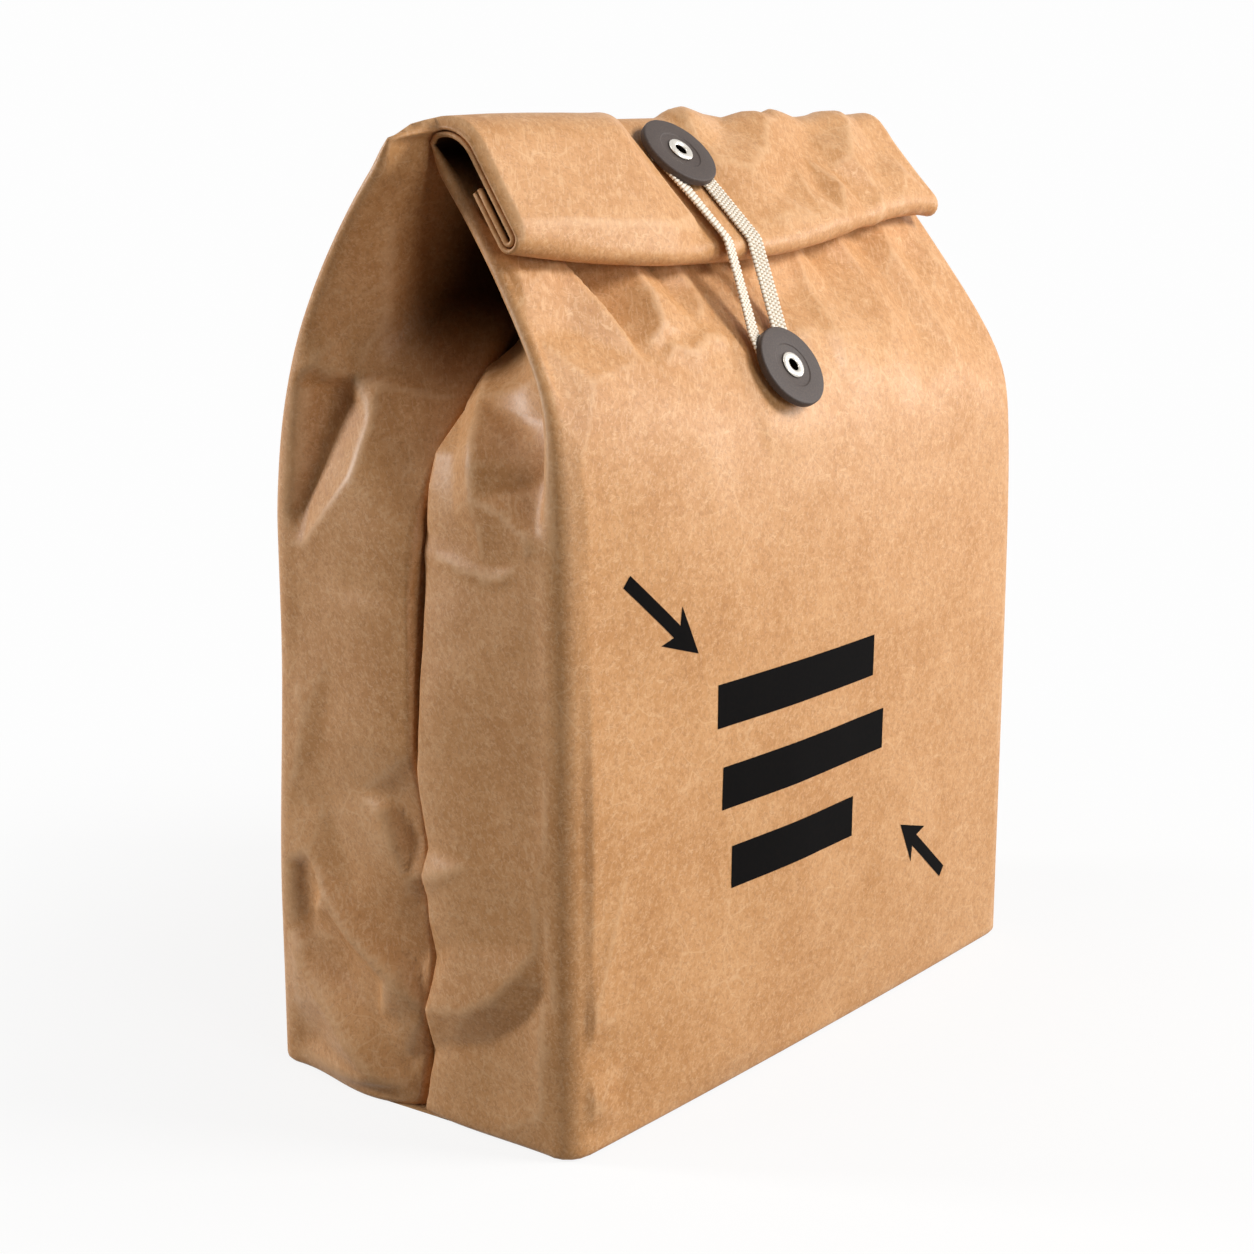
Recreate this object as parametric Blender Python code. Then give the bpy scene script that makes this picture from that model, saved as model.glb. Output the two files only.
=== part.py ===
"""Lunch bag folded from one blank of thick kraft paper.

Its top is rolled forward and down, and a flat woven tape wound behind two buttons holds the roll.
Metres, +Z up. The origin is the middle of the base, the front faces -Y and the width lies along X.
"""

import math

import bmesh
import bpy
from mathutils import Matrix, Vector

# Paper body
BODY_WIDTH = 0.235
BODY_DEPTH = 0.118
PAPER_THICKNESS = 0.0005
CORNER_RADIUS = 0.007
BASE_EDGE_RADIUS = 0.0016
FRONT_BULGE = 0.0055
BACK_BULGE = 0.003
BACK_WAIST = 0.004
SIDE_BULGE = 0.002
BASE_BULGE_FRONT = 0.0012
BASE_BULGE_BACK = 0.0080
BASE_BOW = 0.0014

# Gusseted sides: how far each half leans in towards the middle crease, and the heights where
# the paper takes up that lean, its bulge and the waist of the back above the flat base
SIDE_TUCK = math.radians(15)
BASE_TUCK = math.radians(1.5)
TUCK_RISE = 0.06
BULGE_RISE = 0.08
BOW_RISE = 0.09
WAIST_RISE = (0.05, 0.14)

# How sharply a side turns in at its crease, and the most of a shallow side that its corner takes
CREASE_POWER = 8
CORNER_SHARE = 1 / 6

# Levels, all measured down from the ridge, where the walls begin to lean towards it
RIDGE_HEIGHT = 0.281
RIDGE_FALL = 0.0018
SHOULDER_DROP = 0.116
FRONT_SHOULDER_LEFT_DROP = 0.076
FRONT_SHOULDER_RIGHT_DROP = 0.082
FRONT_SHOULDER_SOFTNESS = 0.014
SWELL_CLEARANCE = 0.030
SWELL_POWER = 0.8

# Rolled top, which is puffed out at its left end and pulled tight elsewhere
ROLL_NARROWING = 0.012
ROLL_OFFSET = 0.003
EAR_SPREAD = 0.0038
FRONT_TOP_INSET_LEFT = 0.0117
FRONT_TOP_INSET_RIGHT = -0.001
PUFF_CLEARANCE = 0.0105
PUFF_BLEND = 0.026
RIDGE_RADIUS_TIGHT = 0.0075
RIDGE_RADIUS_PUFFED = 0.012
RIDGE_SETBACK_TIGHT = 0.004
RIDGE_SETBACK_PUFFED = -0.009
RIDGE_START_ANGLE = math.radians(50)
FLAP_LEAN_TIGHT = math.radians(4)
FLAP_LEAN_PUFFED = math.radians(-5)
FLAP_DROP_AT_ENDS = 0.033
FLAP_SAG = 0.0075
FLAP_SAG_REACH = 0.094
TURN_RADIUS = 0.0023
TUCKED_LENGTH = 0.016
LAYER_GAP = 0.0004

# Shares of the climb from the shoulder, 0, to the ridge, 1, and on over it
FRONT_NARROWING = (0.2, 0.85)
EAR_WIDENING = (0.35, 1.0)
ROLL_GATHER = (0.97, 1.3)
GUSSET_FLATTENING = (0.15, 0.65)

# Buttons, their eyelets and washers
CLOSURE_X = -0.014
BUTTON_DIAMETER = 0.0255
BUTTON_THICKNESS = 0.0025
BUTTON_EDGE = 0.0006
BUTTON_DISH_DIAMETER = 0.0133
LOWER_BUTTON_DROP = 0.0715
UPPER_BUTTON_DROP = 0.014
EYELET_FLANGE_DIAMETER = 0.0084
EYELET_BARREL_DIAMETER = 0.0046
EYELET_WALL = 0.0004
EYELET_ROLL_HEIGHT = 0.00065
SPACER_DIAMETER = 0.0066
SPACER_THICKNESS = 0.0014
BACKING_DIAMETER = 0.0074
BACKING_THICKNESS = 0.0005
FIT_GAP = 0.0003

# Tape
TAPE_WIDTH = 0.0068
TAPE_THICKNESS = 0.001

# Mesh density
FRONT_COLUMNS = 13
BACK_COLUMNS = 9
CORNER_STEPS = 3
GUSSET_STEPS = (0.2, 0.5, 0.78, 0.93)
WALL_SHARES = (0.12, 0.30, 0.545, 0.79)
CLIMB_STEPS = (0.0, 0.13, 0.25, 0.34, 0.40, 0.48, 0.58, 0.70, 0.82, 0.91, 0.97)
RIDGE_STEPS = 6
FLAP_STEPS = 3
TURN_STEPS = 5
TUCK_STEPS = 2
ROUND_SEGMENTS = 40
HOLE_SEGMENTS = 24
TAPE_BEND_STEPS = 5
TAPE_TURN_STEPS = 12
TAPE_STRAND_STEP = 0.004

# Sizes that follow from the ones above
LAYER_PITCH = PAPER_THICKNESS + LAYER_GAP
STACK_DEPTH = 3 * LAYER_PITCH
HALF_STACK = (STACK_DEPTH + PAPER_THICKNESS) / 2
CREASE_HALF_GAP = LAYER_PITCH / 2
SHOULDER_HEIGHT = RIDGE_HEIGHT - SHOULDER_DROP
LOWER_BUTTON_HEIGHT = RIDGE_HEIGHT - LOWER_BUTTON_DROP
EYELET_HOLE_RADIUS = EYELET_BARREL_DIAMETER / 2 + FIT_GAP
SPACER_TOP = FIT_GAP + SPACER_THICKNESS
BUTTON_UNDERSIDE = SPACER_TOP + FIT_GAP
BUTTON_FACE = BUTTON_UNDERSIDE + BUTTON_THICKNESS
TAPE_LEVEL = BUTTON_UNDERSIDE / 2
TAPE_INNER_RADIUS = SPACER_DIAMETER / 2 + FIT_GAP


def mix(a, b, share):
    return a + (b - a) * share


def ease(value, start, end):
    """Smooth step from 0 at start to 1 at end."""
    share = min(1.0, max(0.0, (value - start) / (end - start)))
    return share * share * (3 - 2 * share)


def puffed_share(x):
    """1 at the left end of the roll, which stands proud, and 0 from the buttons to the right end."""
    start = -CLOSURE_X + PUFF_CLEARANCE
    return ease(-x, start, start + PUFF_BLEND)


def roll_end(side):
    return side * (BODY_WIDTH - ROLL_NARROWING) / 2 + ROLL_OFFSET


def front_edge(side, climb):
    """Side edge of the front wall, which narrows towards the ridge, climb 1, and then joins the roll."""
    inset = FRONT_TOP_INSET_LEFT if side < 0 else FRONT_TOP_INSET_RIGHT
    wall = side * (BODY_WIDTH / 2 - inset * ease(climb, *FRONT_NARROWING))
    return mix(wall, roll_end(side), ease(climb, *ROLL_GATHER))


def back_edge(side, climb):
    """Side edge of the back wall, which widens into an ear and draws in over the ridge."""
    wall = side * (BODY_WIDTH / 2 + EAR_SPREAD * ease(climb, *EAR_WIDENING))
    return mix(wall, roll_end(side), ease(climb, *ROLL_GATHER))


def across(x):
    """1 in the middle of the width and 0 at its ends."""
    return max(0.0, 1 - (2 * x / BODY_WIDTH) ** 2)


def swell(height, top):
    """0 at the base and at top, and 1 half way."""
    return math.sin(math.pi * min(1.0, max(0.0, height / top))) ** SWELL_POWER


def ridge_centre(x):
    """Centre and radius of the bend over the ridge, in the plane across the roll."""
    puffed = puffed_share(x)
    radius = mix(RIDGE_RADIUS_TIGHT, RIDGE_RADIUS_PUFFED, puffed)
    setback = mix(RIDGE_SETBACK_TIGHT, RIDGE_SETBACK_PUFFED, puffed)
    height = RIDGE_HEIGHT - RIDGE_FALL * ease(x, 0.0, BODY_WIDTH / 2)
    return Vector((setback, height - radius - HALF_STACK)), radius


def along(angle):
    """Direction of the rolled stack at an angle from straight up, turning forward."""
    return Vector((-math.sin(angle), math.cos(angle)))


def outward(angle):
    return Vector((math.cos(angle), math.sin(angle)))


def stack_start(x):
    """Where the front and back walls meet as one stack: the front layer and the back layer."""
    centre, radius = ridge_centre(x)
    normal = outward(RIDGE_START_ANGLE)
    middle = centre + normal * radius
    return middle - normal * STACK_DEPTH / 2, middle + normal * STACK_DEPTH / 2


def front_shoulder(x):
    rightward = ease(x, 0.0, BODY_WIDTH / 2)
    return RIDGE_HEIGHT - mix(FRONT_SHOULDER_LEFT_DROP, FRONT_SHOULDER_RIGHT_DROP, rightward)


def soft_rise(height, start):
    """Rises from 0 as a straight slope past start, with a soft knee."""
    past = height - start
    return (past + math.hypot(past, FRONT_SHOULDER_SOFTNESS)) / 2


def front_wall(x, height):
    """Depth of the front wall's mid-surface at a height, up to the start of the roll."""
    top = stack_start(x)[0]
    shoulder = front_shoulder(x)
    bow = BASE_BOW * (1 - ease(height, 0.0, BOW_RISE))
    upright = -(BODY_DEPTH / 2) - across(x) * (bow + FRONT_BULGE * swell(height, top.y - SWELL_CLEARANCE))
    lean = (top.x + BODY_DEPTH / 2) * soft_rise(height, shoulder) / soft_rise(top.y, shoulder)
    return upright + lean


def back_wall(x, height):
    top = stack_start(x)[1]
    waist = BACK_WAIST * ease(height, *WAIST_RISE)
    upright = BODY_DEPTH / 2 - waist + BACK_BULGE * across(x) * swell(height, top.y - SWELL_CLEARANCE)
    share = max(0.0, (height - SHOULDER_HEIGHT) / (top.y - SHOULDER_HEIGHT))
    return upright + (top.x - BODY_DEPTH / 2 + waist) * share ** 2


def wall_pair(x, climb):
    """Front and back points of one row between the shoulder, climb 0, and the ridge, climb 1."""
    front_top, back_top = stack_start(x)
    front_height = mix(SHOULDER_HEIGHT, front_top.y, climb)
    back_height = mix(SHOULDER_HEIGHT, back_top.y, climb)
    front = Vector((front_wall(x, front_height), front_height))
    back = Vector((back_wall(x, back_height), back_height))
    return front, back


def flap_angle(x):
    """Direction of the flap, which lies roughly along the front wall below it."""
    top = stack_start(x)[0]
    wall_slope = math.atan2(top.x + BODY_DEPTH / 2, top.y - front_shoulder(x))
    return math.pi - wall_slope - mix(FLAP_LEAN_TIGHT, FLAP_LEAN_PUFFED, puffed_share(x))


def flap_drop(x):
    sag = max(0.0, 1 - ((x - CLOSURE_X) / FLAP_SAG_REACH) ** 2)
    return FLAP_DROP_AT_ENDS + FLAP_SAG * sag


def flap_line(x):
    """Start, direction, normal and length of the flap's straight run, at the stack's middle."""
    centre, radius = ridge_centre(x)
    angle = flap_angle(x)
    start = centre + outward(angle) * radius
    turn_bottom = RIDGE_HEIGHT - flap_drop(x) + TURN_RADIUS + HALF_STACK
    turn_start = start - outward(angle) * TURN_RADIUS
    length = (turn_start.y - turn_bottom) / math.cos(math.pi - angle)
    return start, along(angle), outward(angle), length


def roll_pair(x, stage, share):
    """Front and back layer of the rolled stack: over the ridge, down, round the turn, then up."""
    start, direction, normal, length = flap_line(x)
    angle = flap_angle(x)
    turn_centre = start + direction * length - normal * TURN_RADIUS
    if stage == "over":
        centre, radius = ridge_centre(x)
        here = mix(RIDGE_START_ANGLE, angle, share)
        middle, facing = centre + outward(here) * radius, outward(here)
    elif stage == "down":
        middle, facing = start + direction * length * share, normal
    elif stage == "round":
        here = angle + math.pi * share
        middle, facing = turn_centre + outward(here) * TURN_RADIUS, outward(here)
    else:
        middle = turn_centre - normal * TURN_RADIUS - direction * TUCKED_LENGTH * share
        facing = -normal
    return middle - facing * STACK_DEPTH / 2, middle + facing * STACK_DEPTH / 2


def side_outline(depth, tuck, plump, leg, bulge):
    """Half of one side, from the wall's edge to the middle crease, as (inset, depth) pairs.

    A plump half stays out flush with the side and turns in sharply at the crease. Its bulge is
    highest two thirds of the way to the crease.
    """
    radius = min(CORNER_RADIUS, depth * CORNER_SHARE)
    reach = depth / 2 - CREASE_HALF_GAP - radius
    if leg is None:
        leg = (reach - radius * math.sin(tuck)) / math.cos(tuck)
    span = math.hypot(leg, radius)
    lean = math.atan2(radius, leg) + math.acos(min(1.0, reach / span))
    points = []
    for step in range(CORNER_STEPS + 1):
        turn = (math.pi / 2 + lean) * step / CORNER_STEPS
        points.append((radius - radius * math.sin(turn), radius - radius * math.cos(turn)))
    inset, forward = points[-1]
    for share in GUSSET_STEPS:
        flush = leg * math.sin(lean) * share * (1 - share ** CREASE_POWER)
        crown = 27 / 4 * share ** 2 * (1 - share)
        out = plump * (flush + bulge * crown)
        points.append((inset + leg * share * math.sin(lean) - out * math.cos(lean),
                       forward + leg * share * math.cos(lean) + out * math.sin(lean)))
    inset, forward = inset + leg * math.sin(lean), depth / 2 - CREASE_HALF_GAP
    points.append((inset, forward))
    points.append((inset + CREASE_HALF_GAP, depth / 2))
    return points


def shoulder_leg():
    """Length of a side's flat half, which stays the same where the walls draw together."""
    reach = BODY_DEPTH / 2 - CREASE_HALF_GAP - CORNER_RADIUS
    return (reach - CORNER_RADIUS * math.sin(SIDE_TUCK)) / math.cos(SIDE_TUCK)


def loop_points(pair_at, climb, tuck, plump, leg, bulges=(SIDE_BULGE, SIDE_BULGE), inset=0.0):
    """One closed ring of the paper: front, right side, back and left side, seen from above.

    The bulges are those of a side's front half and of its back half.
    """
    ring = []
    sides = {}
    for side in (-1, 1):
        front_x = front_edge(side, climb) - side * inset
        back_x = back_edge(side, climb) - side * inset
        front, back = pair_at(front_x)
        gap = back - front
        depth = gap.length - 2 * inset
        front_outline, back_outline = (side_outline(depth, tuck, plump, leg, bulge) for bulge in bulges)
        crease = front_outline[-1][0]
        unit = gap.normalized()
        origin = front + unit * inset
        front_half = [(front_x - side * a, origin + unit * b) for a, b in front_outline]
        back_half = []
        for a, b in back_outline[:-1]:
            flare = (back_x - front_x) * (1 - a / crease)
            back_half.append((front_x + flare - side * a, origin + unit * (depth - b)))
        sides[side] = (front_half, back_half)
    right_front, right_back = sides[1]
    left_front, left_back = sides[-1]
    for column in range(1, FRONT_COLUMNS - 1):
        x = mix(left_front[0][0], right_front[0][0], column / (FRONT_COLUMNS - 1))
        front, back = pair_at(x)
        ring.append((x, front + (back - front).normalized() * inset))
    ring.extend(right_front)
    ring.extend(reversed(right_back))
    for column in range(1, BACK_COLUMNS - 1):
        x = mix(right_back[0][0], left_back[0][0], column / (BACK_COLUMNS - 1))
        front, back = pair_at(x)
        ring.append((x, back - (back - front).normalized() * inset))
    ring.extend(left_back)
    ring.extend(reversed(left_front))
    return [Vector((x, point.x, point.y)) for x, point in ring]


def upright_pair(height):
    def pair_at(x):
        return (Vector((front_wall(x, height), height)), Vector((back_wall(x, height), height)))
    return pair_at


def bag_rings():
    """Every ring of the paper from the base to the open mouth inside the roll."""
    rings = []
    skin = PAPER_THICKNESS / 2
    base_bulges = (BASE_BULGE_FRONT, BASE_BULGE_BACK)
    for step in range(3):
        turn = math.pi / 2 * step / 2
        height = skin + BASE_EDGE_RADIUS * (1 - math.cos(turn))
        inset = BASE_EDGE_RADIUS * (1 - math.sin(turn))
        rings.append(loop_points(upright_pair(height), 0.0, BASE_TUCK, 1.0, None, base_bulges, inset))
    for share in WALL_SHARES:
        height = SHOULDER_HEIGHT * share
        tuck = mix(BASE_TUCK, SIDE_TUCK, ease(height, 0.0, TUCK_RISE))
        bulges = [mix(bulge, SIDE_BULGE, ease(height, 0.0, BULGE_RISE)) for bulge in base_bulges]
        rings.append(loop_points(upright_pair(height), 0.0, tuck, 1.0, None, bulges))
    leg = shoulder_leg()
    for climb in CLIMB_STEPS:
        plump = 1 - ease(climb, *GUSSET_FLATTENING)
        rings.append(loop_points(lambda x: wall_pair(x, climb), climb, SIDE_TUCK, plump, leg))
    stages = (("over", RIDGE_STEPS), ("down", FLAP_STEPS), ("round", TURN_STEPS), ("up", TUCK_STEPS))
    for stage, steps in stages:
        first = 0 if stage == "over" else 1
        for step in range(first, steps + 1):
            share = step / steps
            climb = 1 + share if stage == "over" else 2.0
            rings.append(loop_points(lambda x: roll_pair(x, stage, share), climb, SIDE_TUCK, 0.0, leg))
    return rings


def add_object(name, mesh, material):
    thing = bpy.data.objects.new(name, mesh)
    bpy.context.collection.objects.link(thing)
    mesh.materials.append(material)
    return thing


def smooth(mesh, angle=35):
    mesh.shade_smooth()
    mesh.set_sharp_from_angle(angle=math.radians(angle))


def material(name, colour, roughness, metallic=0.0):
    made = bpy.data.materials.new(name)
    made.use_nodes = True
    shader = made.node_tree.nodes["Principled BSDF"]
    shader.inputs["Base Color"].default_value = (*colour, 1.0)
    shader.inputs["Roughness"].default_value = roughness
    shader.inputs["Metallic"].default_value = metallic
    made.diffuse_color = (*colour, 1.0)
    return made


def seat_matrix(x, point, angle):
    """Frame with its origin on the paper's outer face and its Z axis out of it."""
    normal = Vector((0, *outward(angle)))
    across_axis = Vector((1, 0, 0))
    upward = normal.cross(across_axis)
    turn = Matrix((across_axis, upward, normal)).transposed().to_4x4()
    return Matrix.Translation((x, point.x, point.y)) @ turn


def upper_seat():
    start, direction, normal, _ = flap_line(CLOSURE_X)
    point = start + direction * UPPER_BUTTON_DROP + normal * HALF_STACK
    return point, flap_angle(CLOSURE_X)


def lower_seat():
    height = LOWER_BUTTON_HEIGHT
    reach = SPACER_DIAMETER / 2
    rise = front_wall(CLOSURE_X, height + reach) - front_wall(CLOSURE_X, height - reach)
    angle = math.pi - math.atan2(rise, 2 * reach)
    point = Vector((front_wall(CLOSURE_X, height), height))
    return point + outward(angle) * PAPER_THICKNESS / 2, angle


def rivet_cutter(name, frame):
    """Bar that punches the eyelet's hole through one layer of paper."""
    body = bmesh.new()
    bmesh.ops.create_cone(body, cap_ends=True, segments=HOLE_SEGMENTS, radius1=EYELET_HOLE_RADIUS,
                          radius2=EYELET_HOLE_RADIUS, depth=PAPER_THICKNESS + 4 * FIT_GAP)
    mesh = bpy.data.meshes.new(name)
    body.to_mesh(mesh)
    body.free()
    cutter = bpy.data.objects.new(name, mesh)
    bpy.context.collection.objects.link(cutter)
    cutter.matrix_world = frame @ Matrix.Translation((0, 0, -PAPER_THICKNESS / 2))
    cutter.hide_render = True
    cutter.display_type = "WIRE"
    return cutter


def paper_bag(seats):
    rings = bag_rings()
    body = bmesh.new()
    rows = [[body.verts.new(point) for point in ring] for ring in rings]
    body.faces.new(list(reversed(rows[0])))
    for low, high in zip(rows, rows[1:]):
        for i in range(len(low)):
            j = (i + 1) % len(low)
            body.faces.new((low[i], low[j], high[j], high[i]))
    mesh = bpy.data.meshes.new("paper_bag")
    body.to_mesh(mesh)
    body.free()
    smooth(mesh)
    bag = add_object("paper_bag", mesh, material("kraft_paper", (0.47, 0.27, 0.13), 0.6))
    wall = bag.modifiers.new("paper", "SOLIDIFY")
    wall.thickness = PAPER_THICKNESS
    wall.offset = 0
    wall.use_even_offset = True
    for name, frame in seats.items():
        punch = bag.modifiers.new(name + "_hole", "BOOLEAN")
        punch.operation = "DIFFERENCE"
        punch.object = rivet_cutter(name + "_hole_cutter", frame)
    return bag


def turned(name, profile, frame, finish):
    """Ring turned from a closed profile of (radius, height) points, drawn anticlockwise."""
    body = bmesh.new()
    rings = []
    for step in range(ROUND_SEGMENTS):
        turn = 2 * math.pi * step / ROUND_SEGMENTS
        spot = (math.cos(turn), math.sin(turn))
        rings.append([body.verts.new((r * spot[0], r * spot[1], z)) for r, z in profile])
    for i, ring in enumerate(rings):
        after = rings[(i + 1) % len(rings)]
        for j in range(len(profile)):
            k = (j + 1) % len(profile)
            body.faces.new((ring[j], after[j], after[k], ring[k]))
    bmesh.ops.recalc_face_normals(body, faces=body.faces)
    mesh = bpy.data.meshes.new(name)
    body.to_mesh(mesh)
    body.free()
    smooth(mesh)
    piece = add_object(name, mesh, finish)
    piece.matrix_world = frame
    return piece


def washer_profile(inner, outer, low, high):
    return [(inner, low), (outer, low), (outer, high), (inner, high)]


def button_profile():
    """Flat disc with a rounded rim and a shallow dished ring round the eyelet."""
    rim = BUTTON_DIAMETER / 2
    dish = BUTTON_DISH_DIAMETER / 2
    low, high = BUTTON_UNDERSIDE, BUTTON_FACE
    return [(EYELET_HOLE_RADIUS, low), (rim - BUTTON_EDGE, low), (rim, low + BUTTON_EDGE),
            (rim, high - BUTTON_EDGE), (rim - BUTTON_EDGE, high), (dish + BUTTON_EDGE, high),
            (dish, high - BUTTON_EDGE / 2), (EYELET_HOLE_RADIUS, high - BUTTON_EDGE / 2)]


def eyelet_profile():
    """Hollow rivet: flange on the button's face, barrel through the paper, clinched behind it."""
    barrel = EYELET_BARREL_DIAMETER / 2
    bore = barrel - EYELET_WALL
    flange = EYELET_FLANGE_DIAMETER / 2
    seat = BUTTON_FACE - BUTTON_EDGE / 2 + FIT_GAP
    clinch = -(PAPER_THICKNESS + FIT_GAP + BACKING_THICKNESS + FIT_GAP)
    foot = BACKING_DIAMETER / 2 - EYELET_WALL
    return [(barrel, clinch), (barrel, seat), (flange, seat), (flange, seat + EYELET_WALL / 2),
            ((barrel + flange) / 2, seat + EYELET_ROLL_HEIGHT),
            (barrel, seat + EYELET_ROLL_HEIGHT), (bore, seat + EYELET_WALL / 2),
            (bore, clinch - EYELET_WALL), (foot, clinch - EYELET_WALL), (foot, clinch)]


def button_set(place, frame, finishes):
    """Button with its spacer, backing washer and eyelet, all on one axis."""
    backing_top = -(PAPER_THICKNESS + FIT_GAP)
    hole = EYELET_HOLE_RADIUS
    turned(place + "_button", button_profile(), frame, finishes["button"])
    turned(place + "_spacer", washer_profile(hole, SPACER_DIAMETER / 2, FIT_GAP, SPACER_TOP),
           frame, finishes["washer"])
    turned(place + "_backing", washer_profile(hole, BACKING_DIAMETER / 2,
                                              backing_top - BACKING_THICKNESS, backing_top),
           frame, finishes["washer"])
    turned(place + "_eyelet", eyelet_profile(), frame, finishes["eyelet"])


def tangent_angle(point, centre, radius):
    """Angle of the circle's normal where a line from an outside point touches it from the front."""
    offset = point - centre
    return math.atan2(offset.y, offset.x) - math.acos(radius / offset.length)


def tape_route():
    """Tape's path across the closure as (point, normal) pairs, from the upper post to the lower."""
    start, direction, normal, length = flap_line(CLOSURE_X)
    lift = HALF_STACK + TAPE_LEVEL
    upper_point, _ = upper_seat()
    lower_point, lower_angle = lower_seat()
    lower_normal = outward(lower_angle)
    rise = -along(lower_angle)
    lower_post = lower_point + lower_normal * TAPE_LEVEL
    turn_centre = start + direction * length - normal * TURN_RADIUS
    turn_radius = TURN_RADIUS + lift
    settle = lower_post + rise * BUTTON_DIAMETER / 2
    leave = tangent_angle(settle, turn_centre, turn_radius) % (2 * math.pi)
    enter = flap_angle(CLOSURE_X)
    route = [(upper_point + normal * TAPE_LEVEL, normal)]
    for step in range(TAPE_BEND_STEPS):
        here = mix(enter, leave, step / (TAPE_BEND_STEPS - 1))
        route.append((turn_centre + outward(here) * turn_radius, outward(here)))
    route.append((settle, (outward(leave) + lower_normal).normalized()))
    route.append((lower_post, lower_normal))
    return route


def route_samples(route):
    """Route resampled at even steps, as (distance, point, normal)."""
    samples = []
    travelled = 0.0
    for (a, a_normal), (b, b_normal) in zip(route, route[1:]):
        stretch = (b - a).length
        pieces = max(1, math.ceil(stretch / TAPE_STRAND_STEP))
        for piece in range(pieces):
            share = piece / pieces
            samples.append((travelled + stretch * share, a.lerp(b, share),
                            a_normal.lerp(b_normal, share).normalized()))
        travelled += stretch
    samples.append((travelled, *route[-1]))
    return samples


def tape_point(samples, side, distance, lift):
    """Place on the bent closure surface, and past its ends straight on in the button's plane."""
    end = samples[-1][0]
    if distance <= 0:
        _, point, normal = samples[0]
        ahead = Vector((normal.y, -normal.x))
        spot = point - ahead * distance if ahead.y > 0 else point + ahead * distance
    elif distance >= end:
        _, point, normal = samples[-1]
        ahead = Vector((normal.y, -normal.x))
        spot = point - ahead * (distance - end) if ahead.y > 0 else point + ahead * (distance - end)
    else:
        index = next(i for i, sample in enumerate(samples) if sample[0] >= distance)
        before, after = samples[index - 1], samples[index]
        share = (distance - before[0]) / (after[0] - before[0])
        spot = before[1].lerp(after[1], share)
        normal = before[2].lerp(after[2], share).normalized()
    spot = spot + normal * lift
    return Vector((CLOSURE_X + side, spot.x, spot.y))


def closure_tape():
    """Flat tape wound once round both posts: two strands and two half turns behind the buttons."""
    samples = route_samples(tape_route())
    end = samples[-1][0]
    inner, outer = TAPE_INNER_RADIUS, TAPE_INNER_RADIUS + TAPE_WIDTH
    stations = []
    for distance, _, _ in samples[1:-1]:
        stations.append(((inner, distance), (outer, distance)))
    for step in range(TAPE_TURN_STEPS + 1):
        turn = math.pi * step / TAPE_TURN_STEPS
        spot = (math.cos(turn), math.sin(turn))
        stations.append(((inner * spot[0], end + inner * spot[1]),
                         (outer * spot[0], end + outer * spot[1])))
    for distance, _, _ in reversed(samples[1:-1]):
        stations.append(((-inner, distance), (-outer, distance)))
    for step in range(TAPE_TURN_STEPS + 1):
        turn = math.pi * (1 + step / TAPE_TURN_STEPS)
        spot = (math.cos(turn), math.sin(turn))
        stations.append(((inner * spot[0], inner * spot[1]), (outer * spot[0], outer * spot[1])))
    half = TAPE_THICKNESS / 2
    body = bmesh.new()
    rings = []
    for near, far in stations:
        rings.append([body.verts.new(tape_point(samples, *place, lift))
                      for place, lift in ((near, -half), (far, -half), (far, half), (near, half))])
    for i, ring in enumerate(rings):
        after = rings[(i + 1) % len(rings)]
        for j in range(4):
            k = (j + 1) % 4
            body.faces.new((ring[j], after[j], after[k], ring[k]))
    bmesh.ops.recalc_face_normals(body, faces=body.faces)
    mesh = bpy.data.meshes.new("closure_tape")
    body.to_mesh(mesh)
    body.free()
    smooth(mesh)
    return add_object("closure_tape", mesh, material("cotton_tape", (0.78, 0.70, 0.58), 0.9))


def build():
    for thing in list(bpy.data.objects):
        bpy.data.objects.remove(thing, do_unlink=True)
    seats = {"upper": seat_matrix(CLOSURE_X, *upper_seat()), "lower": seat_matrix(CLOSURE_X, *lower_seat())}
    finishes = {
        "button": material("button_board", (0.055, 0.045, 0.042), 0.65),
        "washer": material("washer_board", (0.25, 0.17, 0.11), 0.8),
        "eyelet": material("nickel_plated_brass", (0.75, 0.72, 0.68), 0.3, 1.0),
    }
    paper_bag(seats)
    for place, frame in seats.items():
        button_set(place, frame, finishes)
    closure_tape()


build()
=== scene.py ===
"""Looks of a folded kraft paper lunch bag: crumpled paper, print, ribbed tape, buttons, eyelets and stage.

It is laid out as an add-on and run as a script. Metres, +Z up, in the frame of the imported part.
"""

import math

import bmesh
import bpy
import numpy as np
from mathutils import Matrix, Vector, geometry
from mathutils.bvhtree import BVHTree


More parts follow.
